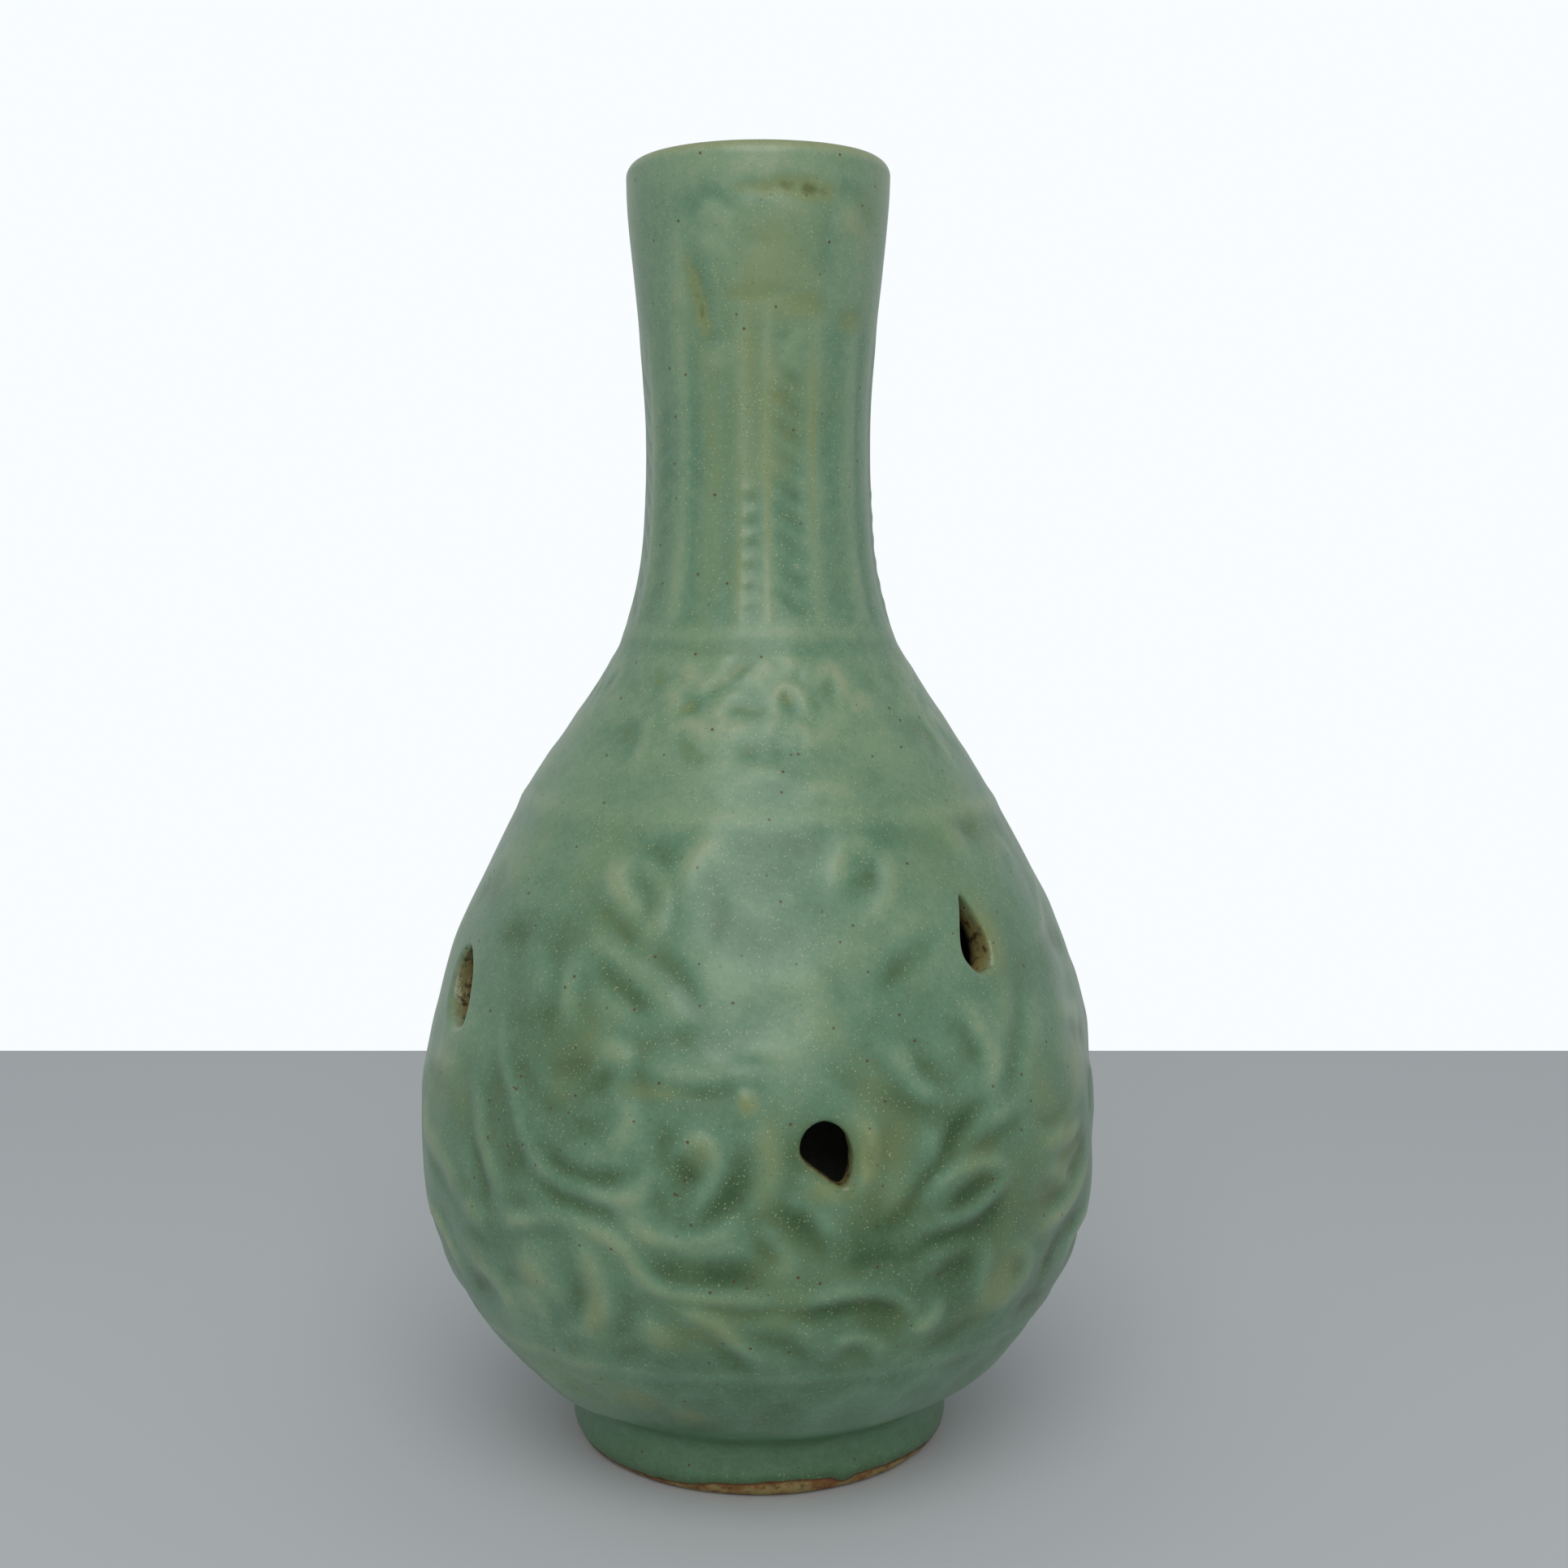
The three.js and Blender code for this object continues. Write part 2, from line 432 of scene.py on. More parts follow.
    def smoothed(self, field_map: Array, width: float) -> Array:
        """Blurs a map with a Gaussian, round the vase and up it.

        Args:
            field_map: the map to blur.
            width: the Gaussian's standard deviation.

        Returns:
            The blurred map.
        """
        radius = self.outline.radius(self.z)[:, None]
        turns = np.arange(self.columns // 2 + 1)[None, :]
        spectrum = np.fft.rfft(field_map, axis=1) * np.exp(-0.5 * (turns * width / radius) ** 2)
        around = np.fft.irfft(spectrum, n=self.columns, axis=1)
        pad = len(self.z)
        tall = np.concatenate([around[::-1], around, around[::-1]])
        waves = 2 * np.pi * np.fft.rfftfreq(len(tall), self.step)[:, None]
        spectrum = np.fft.rfft(tall, axis=0) * np.exp(-0.5 * (waves * width) ** 2)
        return np.fft.irfft(spectrum, n=len(tall), axis=0)[pad : 2 * pad]

    def grain(self, layers: tuple[tuple[float, float, int], ...]) -> Array:
        """Adds layers of smooth random waves.

        Args:
            layers: each layer's standard deviation, width and seed.
        """
        total = np.zeros(self.height.shape)
        for amount, width, seed in layers:
            noise = np.random.default_rng(self.seed + seed).standard_normal(self.height.shape)
            noise = self.smoothed(noise, width)
            total += amount * (noise - noise.mean()) / noise.std()
        return total

    def finish(self, openings: "tuple[Opening, ...]", hand: Handwork = Handwork()) -> None:
        """Joins ridges, hollows and the hand-made unevenness, and works out where glaze pools.

        Glaze depth follows blurred height minus height: it is deep in a hollow and thin on a ridge.

        Args:
            openings: the pierced openings, which sink or swell the wall around them.
            hand: how it softens.
        """
        z, theta, _ = self.grid()
        hollows = self.smoothed(self.hollows, hand.hollow_blur)
        uneven = self.grain(hand.uneven) * hand.evenness.at(z)
        height = hand.scale * (self.ridges - hollows) + uneven - hand.inset
        for opening in openings:
            height = height + opening.swell(theta, z, self.outline)
        self.height = self.smoothed(height, hand.blur)
        below = self.smoothed(self.height, hand.around) - self.smoothed(self.height, hand.near)
        carved = self.smoothed(self.hollows - self.ridges, 0.8) * hand.carving.at(z)
        # By height the glaze darkens towards the foot, partly as glaze that runs down and partly as painted
        # shade on the lower belly.
        self.pool = 0.5 + hand.pooling * below + carved + hand.run_and_shade.at(z) + self.grain(hand.drift)
        thin = np.clip(self.smoothed(self.ridges, 1.2) - 0.25, 0.0, 1.0)
        band = hand.shoulder.at(z)
        ochre = self.ochre + hand.ridge_ochre * thin + self.grain(hand.patches) * (1 - 0.4 * band)
        self.ochre = np.clip(ochre + band * (hand.shoulder_ochre * hollows - 0.05), 0.0, 1.2)

    def tint(self, angle: float, z: float, wide: float, tall: float, amount: float) -> None:
        """Adds a soft patch of ochre, an ellipse with a Gaussian edge.

        Args:
            angle: its middle's angle.
            z: its middle's height.
            wide: half-width in degrees.
            tall: half-height in millimetres.
            amount: how strong it is, 0 to 1.
        """
        rows, theta, _ = self.grid()
        patch = amount * bell(apart(theta, angle), wide) * bell(rows - z, tall)
        self.ochre = np.maximum(self.ochre, patch)

    def read(self, field_map: Array, theta: Array, z: Array) -> Array:
        """Reads a map between its grid points with Catmull-Rom weights in both directions.

        Args:
            field_map: the map to read.
            theta: angles.
            z: heights, the same shape.

        Returns:
            The values, in the shape of theta.
        """
        theta, z = np.broadcast_arrays(np.asarray(theta, float), np.asarray(z, float))
        u = (theta + 180.0) / 360.0 * self.columns
        v = np.clip(z / self.step, 0, len(self.z) - 1.0)
        i, j = np.floor(u).astype(int), np.floor(v).astype(int)
        total = np.zeros(theta.shape)
        for m, up in enumerate(self._weights(v - j)):
            row = np.clip(j + m - 1, 0, len(self.z) - 1)
            for n, across in enumerate(self._weights(u - i)):
                total += up * across * field_map[row, (i + n - 1) % self.columns]
        return total

    @staticmethod
    def _weights(t: Array) -> tuple[Array, Array, Array, Array]:
        """Returns the four Catmull-Rom weights at a fraction t between two grid points."""
        return (
            0.5 * (-t + 2 * t**2 - t**3),
            0.5 * (2 - 5 * t**2 + 3 * t**3),
            0.5 * (t + 4 * t**2 - 3 * t**3),
            0.5 * (t**3 - t**2),
        )


@dataclass(frozen=True)
class Opening:
    """One pierced opening: a smooth outline cut through the belly's wall, with a rounded lip.

    Attributes:
        angle: its middle's angle.
        z: its middle's height.
        outline: smooth points [across, up] about the middle, in millimetres.
        sink: how far the wall dips around it.
        scorch: how brown its edge is, 0 to 1; it also darkens the painted shade in the cut on that side.
        scorched_side: the browner side's direction, in degrees from across towards up.
        dip_width: how wide the dip is.
    """

    angle: float
    z: float
    outline: tuple[Point, ...]
    sink: float = 0.5
    scorch: float = 0.5
    scorched_side: float = -90.0
    dip_width: float = 9.0

    def swell(self, theta: Array, z: Array, outline: Outline) -> Array:
        """Gives the soft dip round the opening: -sink * exp(-(distance / dip_width)^2)."""
        across = np.radians(apart(theta, self.angle)) * outline.radius(z)
        return -self.sink * bell(across, self.dip_width) * bell(z - self.z, self.dip_width)

    def scale(self, outline: Outline) -> float:
        """Returns the wall's millimetres for each degree, at the opening's middle."""
        return float(np.radians(1.0) * outline.radius(np.array([self.z]))[0])

    def reach(self, angle: Array) -> Array:
        """Returns the outline's distance from the middle in each direction.

        Args:
            angle: directions in radians, from across towards up.
        """
        curve = through(self.outline, per_span=24, closed=True)
        turn = np.arctan2(curve[:, 1], curve[:, 0])
        order = np.argsort(turn)
        return np.interp(angle, turn[order], np.hypot(*curve.T)[order], period=2 * np.pi)

    def behind(self) -> "Opening":
        """Returns the same opening half a turn on."""
        return replace(self, angle=float(apart(self.angle, 180.0)))


CENTRE_OPENING = Opening(
    10.7,
    89.6,
    ((0, 6.0), (3.9, 3.9), (5.7, -0.2), (5.5, -4.8), (3.6, -7.7), (0, -5.6), (-4.7, -1.8), (-5.3, 1.6),
     (-3.6, 4.6)),
    sink=0.9,
    scorch=0.8,
    scorched_side=-105.0,
)
RIGHT_OPENING = Opening(
    42.6,
    129.0,
    ((-0.2, 8), (2.6, 4), (4, -1.4), (3, -6.2), (-0.6, -7.6), (-3.8, -4.6), (-4.3, -1.2), (-2.4, 4)),
    sink=-0.3,
    scorch=0.8,
    scorched_side=-25.0,
)
LEFT_OPENING = Opening(
    -62.5,
    114.6,
    ((-4.4, 8.2), (1.8, 5), (6.2, -1.4), (6.6, -6.8), (0.6, -8.2), (-6.2, -4), (-8.6, 3)),
    sink=-0.2,
    scorch=0.8,
    scorched_side=180.0,
)
SIDE_OPENING = Opening(
    -82.0,
    97.0,
    ((0, 6.6), (4.8, 4.4), (5.7, -1), (4, -5.6), (0, -6.3), (-4, -5.6), (-5.7, -1), (-4.8, 4.4)),
)
PIERCED = (CENTRE_OPENING, RIGHT_OPENING, LEFT_OPENING, SIDE_OPENING)


# The flower in the middle of the upper belly.
PETALS = (
    raised(1.0, 1.9, (-20.5, 134.5), (-24.5, 137.5), (-28, 141.5), (-29, 143.8), (-26, 146)),
    raised(0.9, 2.0, (-26, 146), (-22, 146), (-18.8, 143), (-17.3, 139), (-18, 134), (-20, 130.5)),
    sunk(1.0, 2.0, (-31, 138.5), (-27, 134.8), (-23.5, 131.8), (-20, 128.8)),
    sunk(0.8, 2.2, (-20, 128.3), (-16, 127), (-13, 124.5), (-10.5, 121), (-9, 117.5)),
    sunk(0.5, 1.8, (-25.5, 142), (-22, 141.8), (-19.8, 138.8), (-19, 135)),
    raised(0.55, 4.2, (-47, 131), (-42.5, 127.6), (-39, 122), (-38, 116)),
    raised(0.6, 2.4, (-29, 129.5), (-25, 127.8), (-21, 125), (-17, 121.8), (-13.5, 118.5),
            (-11, 115.5)),
    sunk(1.15, 2.0, (-28.6, 125.8), (-26, 124.6), (-23, 121.8), (-20, 119.3), (-17, 117)),
    raised(0.6, 2.2, (-28, 119.8), (-24, 117.5), (-20.3, 114.8)),
    raised(1.0, 2.2, (-33, 127), (-33.2, 122), (-32.6, 118), (-31.2, 113.5)),
    sunk(0.5, 2.6, (-36, 117), (-34.8, 112.5)),
    raised(0.9, 2.6, (-14, 139), (-13.6, 144), (-11.8, 148), (-9.4, 149.8), (-6.4, 148.2)),
    sunk(0.5, 2.0, (-8.6, 143), (-7, 138), (-7.4, 133), (-9, 130)),
    sunk(1.0, 2.6, (-25, 147.6), (-20.8, 147.4), (-18, 145)),
    raised(0.9, 2.1, (16, 141), (16.6, 145.5), (19, 149.4), (22.4, 150), (25.4, 147.8)),
    raised(0.9, 2.0, (25.4, 147.8), (27.4, 145), (26.8, 141), (24.5, 137), (21, 134)),
    sunk(0.9, 2.4, (17.4, 140.8), (20.6, 141.3), (23.2, 143), (24.6, 144.6)),
    sunk(0.9, 2.6, (20.5, 121.5), (24.5, 124.3), (28, 127), (31, 129), (33.5, 130.8)),
    raised(0.4, 2.6, (24, 131), (28, 133.5), (32, 135)),
    raised(0.35, 3.0, (-5, 141), (-2, 138), (2, 137), (6, 139), (8.5, 142)),
    sunk(0.3, 2.6, (-3, 133), (1, 131), (6, 131.5)),
    raised(0.3, 3.0, (2, 125), (7, 123), (12, 124)),
    sunk(0.4, 2.4, (12, 126), (14, 122), (13.5, 118)),
)

# The curls below the flower, between it and the centre opening.
HEARTS = (
    raised(1.1, 2.2, (-25, 107), (-23, 109), (-21, 108), (-20.6, 105)),
    sunk(1.05, 1.7, (-25.2, 100.6), (-23.6, 102.8), (-21.2, 104.4)),
    sunk(0.8, 2.0, (-34, 104.3), (-31, 104), (-28, 105.4), (-25.6, 106.8)),
    sunk(0.7, 2.4, (-20, 110.6), (-16, 110.8), (-12, 112), (-9, 113)),
    sunk(0.55, 2.4, (-18.8, 108), (-17.2, 103), (-16, 99)),
    raised(0.5, 1.9, (-16, 105.8), (-12, 104.5), (-8, 104.4), (-3, 105), (1, 106.8)),
    sunk(0.65, 1.9, (-15, 102.8), (-11, 101.8), (-7, 101.6), (-4, 102.4), (-2.6, 103.2)),
    raised(1.2, 1.3, (-2.2, 102), (-1.3, 100.4), (-0.5, 98)),
    raised(0.5, 2.2, (-9, 107), (-4, 108.5), (1, 110), (6, 109)),
    sunk(0.4, 2.0, (-6, 110.5), (-2, 108.2), (3, 106)),
    raised(0.9, 2.4, (-20, 99.6), (-18.8, 96.8), (-18.6, 94), (-20.2, 91), (-22.4, 89.6)),
    raised(0.5, 2.4, (-15.5, 88), (-16.8, 91), (-16, 96)),
    sunk(0.5, 2.2, (-28.6, 92), (-26, 92.6), (-23.6, 93)),
    sunk(0.45, 2.2, (-36, 98.6), (-33, 96.4), (-30, 94.4)),
    raised(1.3, 2.1, (-10.8, 89.6), (-9, 91.8), (-6.8, 91), (-5.6, 88), (-5.8, 84.4), (-7.4, 80.6),
            (-9, 77)),
    sunk(1.0, 1.9, (-12.2, 87), (-9.8, 86), (-10.4, 82.6)),
    sunk(0.5, 1.8, (-12.4, 94), (-13.6, 90.6), (-13.2, 87.2)),
    sunk(0.6, 1.7, (-2.6, 88), (-2.8, 84), (-4.4, 80), (-6, 77.4), (-7.2, 74.8)),
    raised(0.9, 2.6, (1, 96.5), (1.6, 92), (2.4, 88), (2.3, 83.8), (0.4, 79.4), (-2, 76)),
)

# The long stem that comes down from the left and rolls into the big crescent leaf.
STEM = (
    raised(0.85, 2.0, (-47, 112), (-45, 107), (-43, 101), (-41, 97), (-39.5, 93), (-37.8, 88.6),
            (-35.6, 84.4), (-31.5, 81), (-27, 79.7)),
    raised(0.9, 1.8, (-27, 79.7), (-23, 79), (-19, 79.4), (-16.4, 81.6), (-15, 85)),
    sunk(0.65, 1.7, (-46.5, 103), (-44, 98.8), (-42, 96), (-40.4, 92), (-39, 88), (-37.4, 84),
            (-35.6, 81)),
    sunk(1.25, 1.6, (-35.6, 81), (-32, 78.6), (-28.6, 77), (-25, 76.3), (-22, 75.6), (-19.2, 75)),
    sunk(1.2, 2.0, (-32.4, 87.2), (-30.8, 84.6), (-28, 83), (-25, 82.8), (-22, 83.2), (-18.6, 84.4)),
    sunk(0.7, 1.8, (-16.6, 83), (-14, 79.6), (-14.8, 76.6)),
    raised(0.5, 3.0, (-27, 87.6), (-23, 86.8), (-19, 88)),
    sunk(0.55, 2.2, (-44, 105.2), (-40, 103), (-37.4, 100.4), (-34.8, 98)),
    raised(0.9, 2.0, (-20, 75.8), (-16.6, 72.2), (-13, 70.8), (-9, 70.8), (-5, 72.6), (-2.6, 75.6),
            (-1.2, 78.6)),
    sunk(0.7, 1.6, (-17, 69.8), (-14, 68.6), (-10, 68.8)),
    raised(0.5, 1.8, (-12.4, 69.2), (-7.4, 68.8), (-3, 69.4), (-1, 71)),
    sunk(1.2, 3.7, (-16.4, 67.4), (-13.4, 65), (-9, 64), (-5, 63.8), (-1, 64.2), (1.8, 65.8)),
    sunk(1.1, 1.8, (2.9, 65), (2.2, 68), (0.6, 70.8)),
    raised(1.2, 1.8, (-33, 72.4), (-29, 73), (-25, 71.4), (-21.6, 70.2), (-19, 67.4), (-17.4, 64),
            (-15.4, 61), (-12.4, 58.9), (-8, 58.5), (-3, 58.7), (2, 58.6), (6, 59.4)),
    raised(0.8, 2.2, (0.5, 75.6), (3, 71.6), (4.6, 67.2), (3.6, 63)),
    raised(0.8, 2.8, (3.8, 80.6), (8, 78.6), (10.6, 75), (12, 71)),
    sunk(0.8, 1.8, (3.6, 77.6), (6, 76.2), (8.2, 73), (9.7, 69.6), (10.2, 66.4)),
    raised(1.1, 2.0, (5.6, 84.6), (8.6, 82.6), (11, 80.6), (13.6, 77.2)),
    raised(2.2, 1.5, (15.6, 80.6), (16.8, 84.4), (17.6, 88.4), (17.4, 92.2), (15.6, 95.8)),
    sunk(0.6, 1.8, (19.6, 93), (19, 88), (17.6, 82), (17.8, 77), (19.4, 73.6)),
)

# The leaves under the crescent, down to the lower border.
LOW_LEAVES = (
    raised(1.0, 2.4, (-28.6, 70.6), (-26.2, 67), (-25.2, 63), (-24.6, 59.6), (-24.2, 56),
            (-25.4, 52.4), (-27.6, 49.2), (-29.6, 46.6)),
    sunk(0.7, 2.2, (-28.6, 59.6), (-28, 56), (-29.4, 52), (-31.4, 49)),
    sunk(0.8, 2.2, (-34.4, 52.6), (-33.6, 49.4), (-34, 46)),
    sunk(0.6, 1.4, (-29.6, 46), (-31.6, 43), (-33.4, 40.6)),
    sunk(0.7, 2.4, (-20.4, 58), (-19.6, 54), (-21, 50), (-24, 46.4)),
    sunk(0.7, 1.6, (-17.6, 46), (-20.4, 43.8), (-24.4, 42)),
    raised(0.8, 2.4, (-18, 53), (-15.4, 50), (-14.6, 46.6)),
    raised(1.1, 1.7, (-13.6, 57.2), (-10, 55.2), (-7, 53.6), (-5, 51.6), (-3.4, 48.8), (-1.8, 46.6),
            (0.6, 43.6)),
    sunk(0.8, 1.5, (-16.4, 58), (-10.6, 57.2), (-5, 55.9), (0, 55), (5, 55.2)),
    sunk(0.7, 1.8, (-9, 50.6), (-5.6, 47.4), (-3.4, 44.4), (-1.4, 41.8)),
    sunk(0.7, 1.7, (-0.4, 50.4), (3.2, 48.6), (6, 46.6), (8.4, 43.8)),
    raised(0.8, 1.8, (-1, 53.6), (3.6, 53.6), (7, 51.8), (9.4, 48.6)),
    sunk(1.3, 1.8, (6, 54.6), (10, 55.6), (14.4, 56.4), (18.4, 56), (21.4, 54.2), (23.8, 51.6)),
    raised(0.9, 1.7, (3, 57.8), (8, 58.6), (13, 59.4), (18, 59), (22, 57), (24.6, 54), (25.8, 51)),
    raised(1.4, 1.9, (25.6, 52.6), (26.6, 49.4), (28.6, 50.4), (29.2, 53), (28, 56)),
    sunk(0.6, 2.6, (16, 52.6), (19, 50.8), (22, 48.6)),
    raised(0.9, 1.4, (12, 46), (14, 48.8), (17, 48.8), (19.6, 46.4), (20.6, 43)),
    sunk(0.9, 1.5, (13.4, 44), (15.2, 46), (17.2, 45.4), (19, 43)),
    raised(0.5, 1.8, (21, 42), (25, 41.6), (29, 43)),
    raised(0.7, 1.6, (-42.4, 69.6), (-38, 70.2), (-34, 71), (-30.4, 71.6)),
    sunk(0.9, 1.7, (-41, 73.2), (-38, 74.4), (-35.6, 74)),
    sunk(0.9, 1.7, (-40.6, 66.2), (-37, 68), (-34, 69.6), (-29, 69.8)),
    raised(0.7, 3.0, (-41, 59.6), (-37.6, 59.4), (-35.6, 56.4)),
    raised(0.6, 2.4, (-43, 52), (-39, 53.4), (-36.6, 51)),
    sunk(0.5, 2.2, (-44, 56.4), (-40, 55.4)),
)

# The leaves to the right of the centre opening.
RIGHT_LEAVES = (
    sunk(1.25, 1.9, (19.4, 73.2), (22, 75.2), (24, 78.6), (26, 81.8), (28.2, 85.4), (30.4, 88.6),
            (32.4, 92), (35, 94.6), (37.6, 95.2)),
    raised(0.6, 2.4, (27.6, 93.6), (26.8, 90), (28, 87), (26.4, 84)),
    raised(1.2, 1.6, (26, 78.4), (28, 81), (31.4, 83), (35, 83.6), (38.6, 82.8), (41.6, 80.4)),
    raised(1.0, 1.6, (41.8, 80.4), (41, 77.8), (38, 75.6), (34.6, 73.8), (30, 72.6), (24.6, 71.8)),
    sunk(1.2, 1.8, (30.6, 75.4), (33, 77.4), (35.6, 79.4), (38.2, 79.8)),
    sunk(1.1, 1.6, (23.6, 65.8), (27, 68.4), (30.4, 69.3), (34.2, 69.8), (37.2, 72), (39.8, 74.6),
            (42, 77.4)),
    sunk(0.6, 2.0, (13, 64.6), (18, 66.6), (23.6, 65.8)),
    raised(0.5, 2.4, (25, 63), (29, 65.6), (34, 67)),
    sunk(0.8, 2.0, (28.6, 61.4), (32, 62.2), (34.6, 61.2)),
    raised(0.9, 2.0, (36.6, 66), (38.2, 62), (37.4, 58), (38.4, 54), (40.6, 51)),
    raised(0.8, 2.2, (40.6, 51), (44, 50.4), (47.6, 52.8), (49.4, 56.2), (47.8, 60), (44, 62)),
    sunk(1.1, 2.3, (43.6, 60), (45.6, 57), (46.8, 54.6)),
    sunk(0.7, 2.0, (30, 44), (34, 45.6), (38, 46.8), (43, 47)),
    raised(1.1, 2.3, (20.6, 109.6), (23.4, 107), (24.8, 104), (26.4, 100.6), (29, 98)),
    sunk(0.8, 2.2, (26.2, 107.4), (26.8, 104.6), (29.4, 103)),
    sunk(0.55, 2.0, (11, 106), (15.6, 102.6), (20.6, 99.2), (26, 96.6), (30, 94)),
    sunk(0.9, 2.0, (32, 113.2), (35.2, 110.8), (36.8, 107.4), (38, 104.6)),
    raised(0.9, 2.3, (37.4, 116), (38.6, 110.6), (40, 106.4), (40.2, 102.4), (38.8, 98)),
    sunk(0.7, 2.2, (50.6, 118), (48.4, 112), (46, 106), (43.8, 101), (41, 96)),
    raised(0.6, 2.4, (53, 111), (50.6, 106), (48, 101.6), (46, 97)),
    sunk(0.8, 1.9, (34.6, 85.8), (38, 87.4), (41.4, 89.6), (45, 91)),
    raised(0.5, 2.0, (31, 87.6), (35, 90.6), (39, 92.4), (44, 94)),
)

# The leaves that the eye meets at a slant, at both sides.
SIDE_LEAVES = (
    raised(1.1, 2.0, (51, 77), (54.4, 75.6), (58, 73), (61, 70)),
    sunk(1.2, 1.6, (47, 70.6), (52, 70.3), (57, 71), (60, 73), (63, 75.6), (66, 77.6), (68, 79.4)),
    sunk(1.1, 1.5, (54, 80), (57, 79.3), (60, 80), (63.4, 80.6), (68, 79.4)),
    sunk(0.8, 2.0, (50, 74), (53, 74.6), (56, 73)),
    raised(1.0, 1.9, (50, 83.6), (55, 83), (59, 82.6), (63, 83.6)),
    sunk(0.9, 1.2, (56, 83.6), (60, 85.4), (62.4, 86.4), (65, 88)),
    sunk(0.8, 1.8, (48, 90.6), (51.6, 87.8), (55.6, 88.4), (59, 90.4)),
    raised(1.5, 1.9, (50, 63.6), (54.6, 64.6), (59, 65.4), (62.6, 67.6), (66, 70.6), (70, 73.6)),
    sunk(1.1, 2.6, (56, 50.6), (56.6, 55), (59, 58.4), (63, 60.6), (69, 62)),
    raised(1.2, 2.4, (62, 52), (66, 55.6), (70, 58.8), (75, 60)),
    sunk(1.1, 3.2, (70, 51), (75, 53.6), (81, 54.4)),
    sunk(0.9, 2.2, (50, 45.6), (55, 45.8), (60, 44.4)),
    raised(0.7, 2.0, (60.6, 125.6), (65, 127), (69, 129.4), (73, 132.6), (77, 135.2), (82, 137)),
    sunk(0.9, 3.0, (70, 124), (74.6, 122), (80, 121)),
    sunk(0.9, 2.2, (65, 103.6), (69, 102), (73, 101.2), (77, 102)),
    raised(0.8, 2.4, (61, 108.8), (66, 108.6), (71, 107.4), (76, 108)),
    raised(0.6, 2.6, (44.6, 151), (47.6, 149), (48.6, 145)),
    sunk(1.0, 2.2, (50.6, 151), (54, 150.4), (58.4, 152)),
    raised(0.6, 2.4, (58, 141), (61, 144.6), (66, 145.6), (70, 142)),
    raised(0.8, 2.6, (83, 116), (87, 111), (88.4, 104), (86, 97)),
    raised(1.0, 2.2, (80, 92), (84, 88), (86, 82), (84, 76)),
    sunk(1.0, 2.2, (76.6, 90), (79.6, 85), (80, 79)),
    raised(1.0, 2.3, (-50.4, 97), (-49, 92), (-48.4, 87), (-46.4, 81.6), (-43, 77)),
    sunk(1.0, 1.8, (-50, 84), (-48.2, 79.4), (-46.6, 75.6), (-46, 72.6)),
    sunk(0.6, 2.2, (-56, 78), (-53, 74.4), (-50.4, 73)),
    raised(0.8, 2.6, (-53, 69.6), (-49.6, 68.4), (-47, 66.4)),
    sunk(0.9, 1.7, (-52, 63.2), (-49.4, 62), (-46.6, 62.4)),
    sunk(1.1, 2.8, (-56, 48.4), (-52.6, 50.6), (-49.6, 51)),
    raised(0.8, 1.9, (-52, 55), (-48.6, 54), (-45.8, 51), (-44, 47.4)),
    raised(1.5, 2.0, (-73, 62.6), (-68.4, 61), (-64.6, 59.4), (-61.8, 55.6), (-59.4, 51.4)),
    sunk(1.2, 3.2, (-79, 55), (-73.6, 54), (-68, 54.6)),
    sunk(0.9, 2.6, (-73, 40), (-66, 40.4), (-60, 39.4)),
    raised(0.8, 2.4, (-70, 84), (-66, 80), (-60, 77), (-56, 72)),
    sunk(0.7, 2.4, (-68, 76), (-63, 72.4), (-58, 69)),
    raised(0.8, 2.2, (-76, 92), (-73.4, 86), (-74, 79), (-78, 74)),
    sunk(0.5, 2.4, (-70, 95), (-64, 93), (-58, 92)),
    raised(0.5, 2.4, (-66, 101), (-60, 98.6), (-55, 99)),
    raised(0.5, 2.6, (-57, 130), (-52, 134), (-46, 136.6), (-40, 136)),
    sunk(0.4, 2.4, (-54, 127), (-48, 128.6), (-42, 129.8)),
    raised(0.5, 2.4, (-75, 137), (-70, 141), (-63, 142.6), (-57, 140.6)),
    sunk(0.5, 2.4, (-72, 134), (-66, 135.6), (-60, 135)),
)


class BellyPattern:
    """The belly's moulded flowers, stems and leaves, drawn once and repeated half a turn on."""

    def press(self, relief: ReliefMap) -> None:
        """Stamps the whole pattern at the front and again at the back."""
        flower = PETALS + HEARTS + STEM
        relief.stamp(flower + LOW_LEAVES + RIGHT_LEAVES + SIDE_LEAVES, turns=FRONT_AND_BACK)

    def borders(self, relief: ReliefMap) -> None:
        """Adds the ridge over the belly, the ridge under it and the row of low petals."""
        z, _, turn = relief.grid()
        over = 154.0 + ripple(turn, (0.8, 1, 2.2), (0.3, 5, 0.0))
        strength = 0.62 + ripple(turn, (0.30, 2, -0.5)) + 0.16 * np.cos(5 * turn)
        relief.lay(0.7 * strength * bell(z - over, 1.8), 0.4 * (1.1 - strength) * bell(z - over + 4.0, 2.2))
        relief.lay(0.6 * bell(z - 38.6 - ripple(turn, (0.5, 3, 0.6)), 1.1))
        petal = np.abs(np.sin(13 * turn + 0.4)) ** 0.6
        arch = 25.0 + 9.5 * petal
        inside = 0.25 * ease(arch - z, 1.0, 4.0) * ease(z, 19.0, 23.0) * petal
        relief.lay(0.22 * bell(z - arch, 1.5), inside)


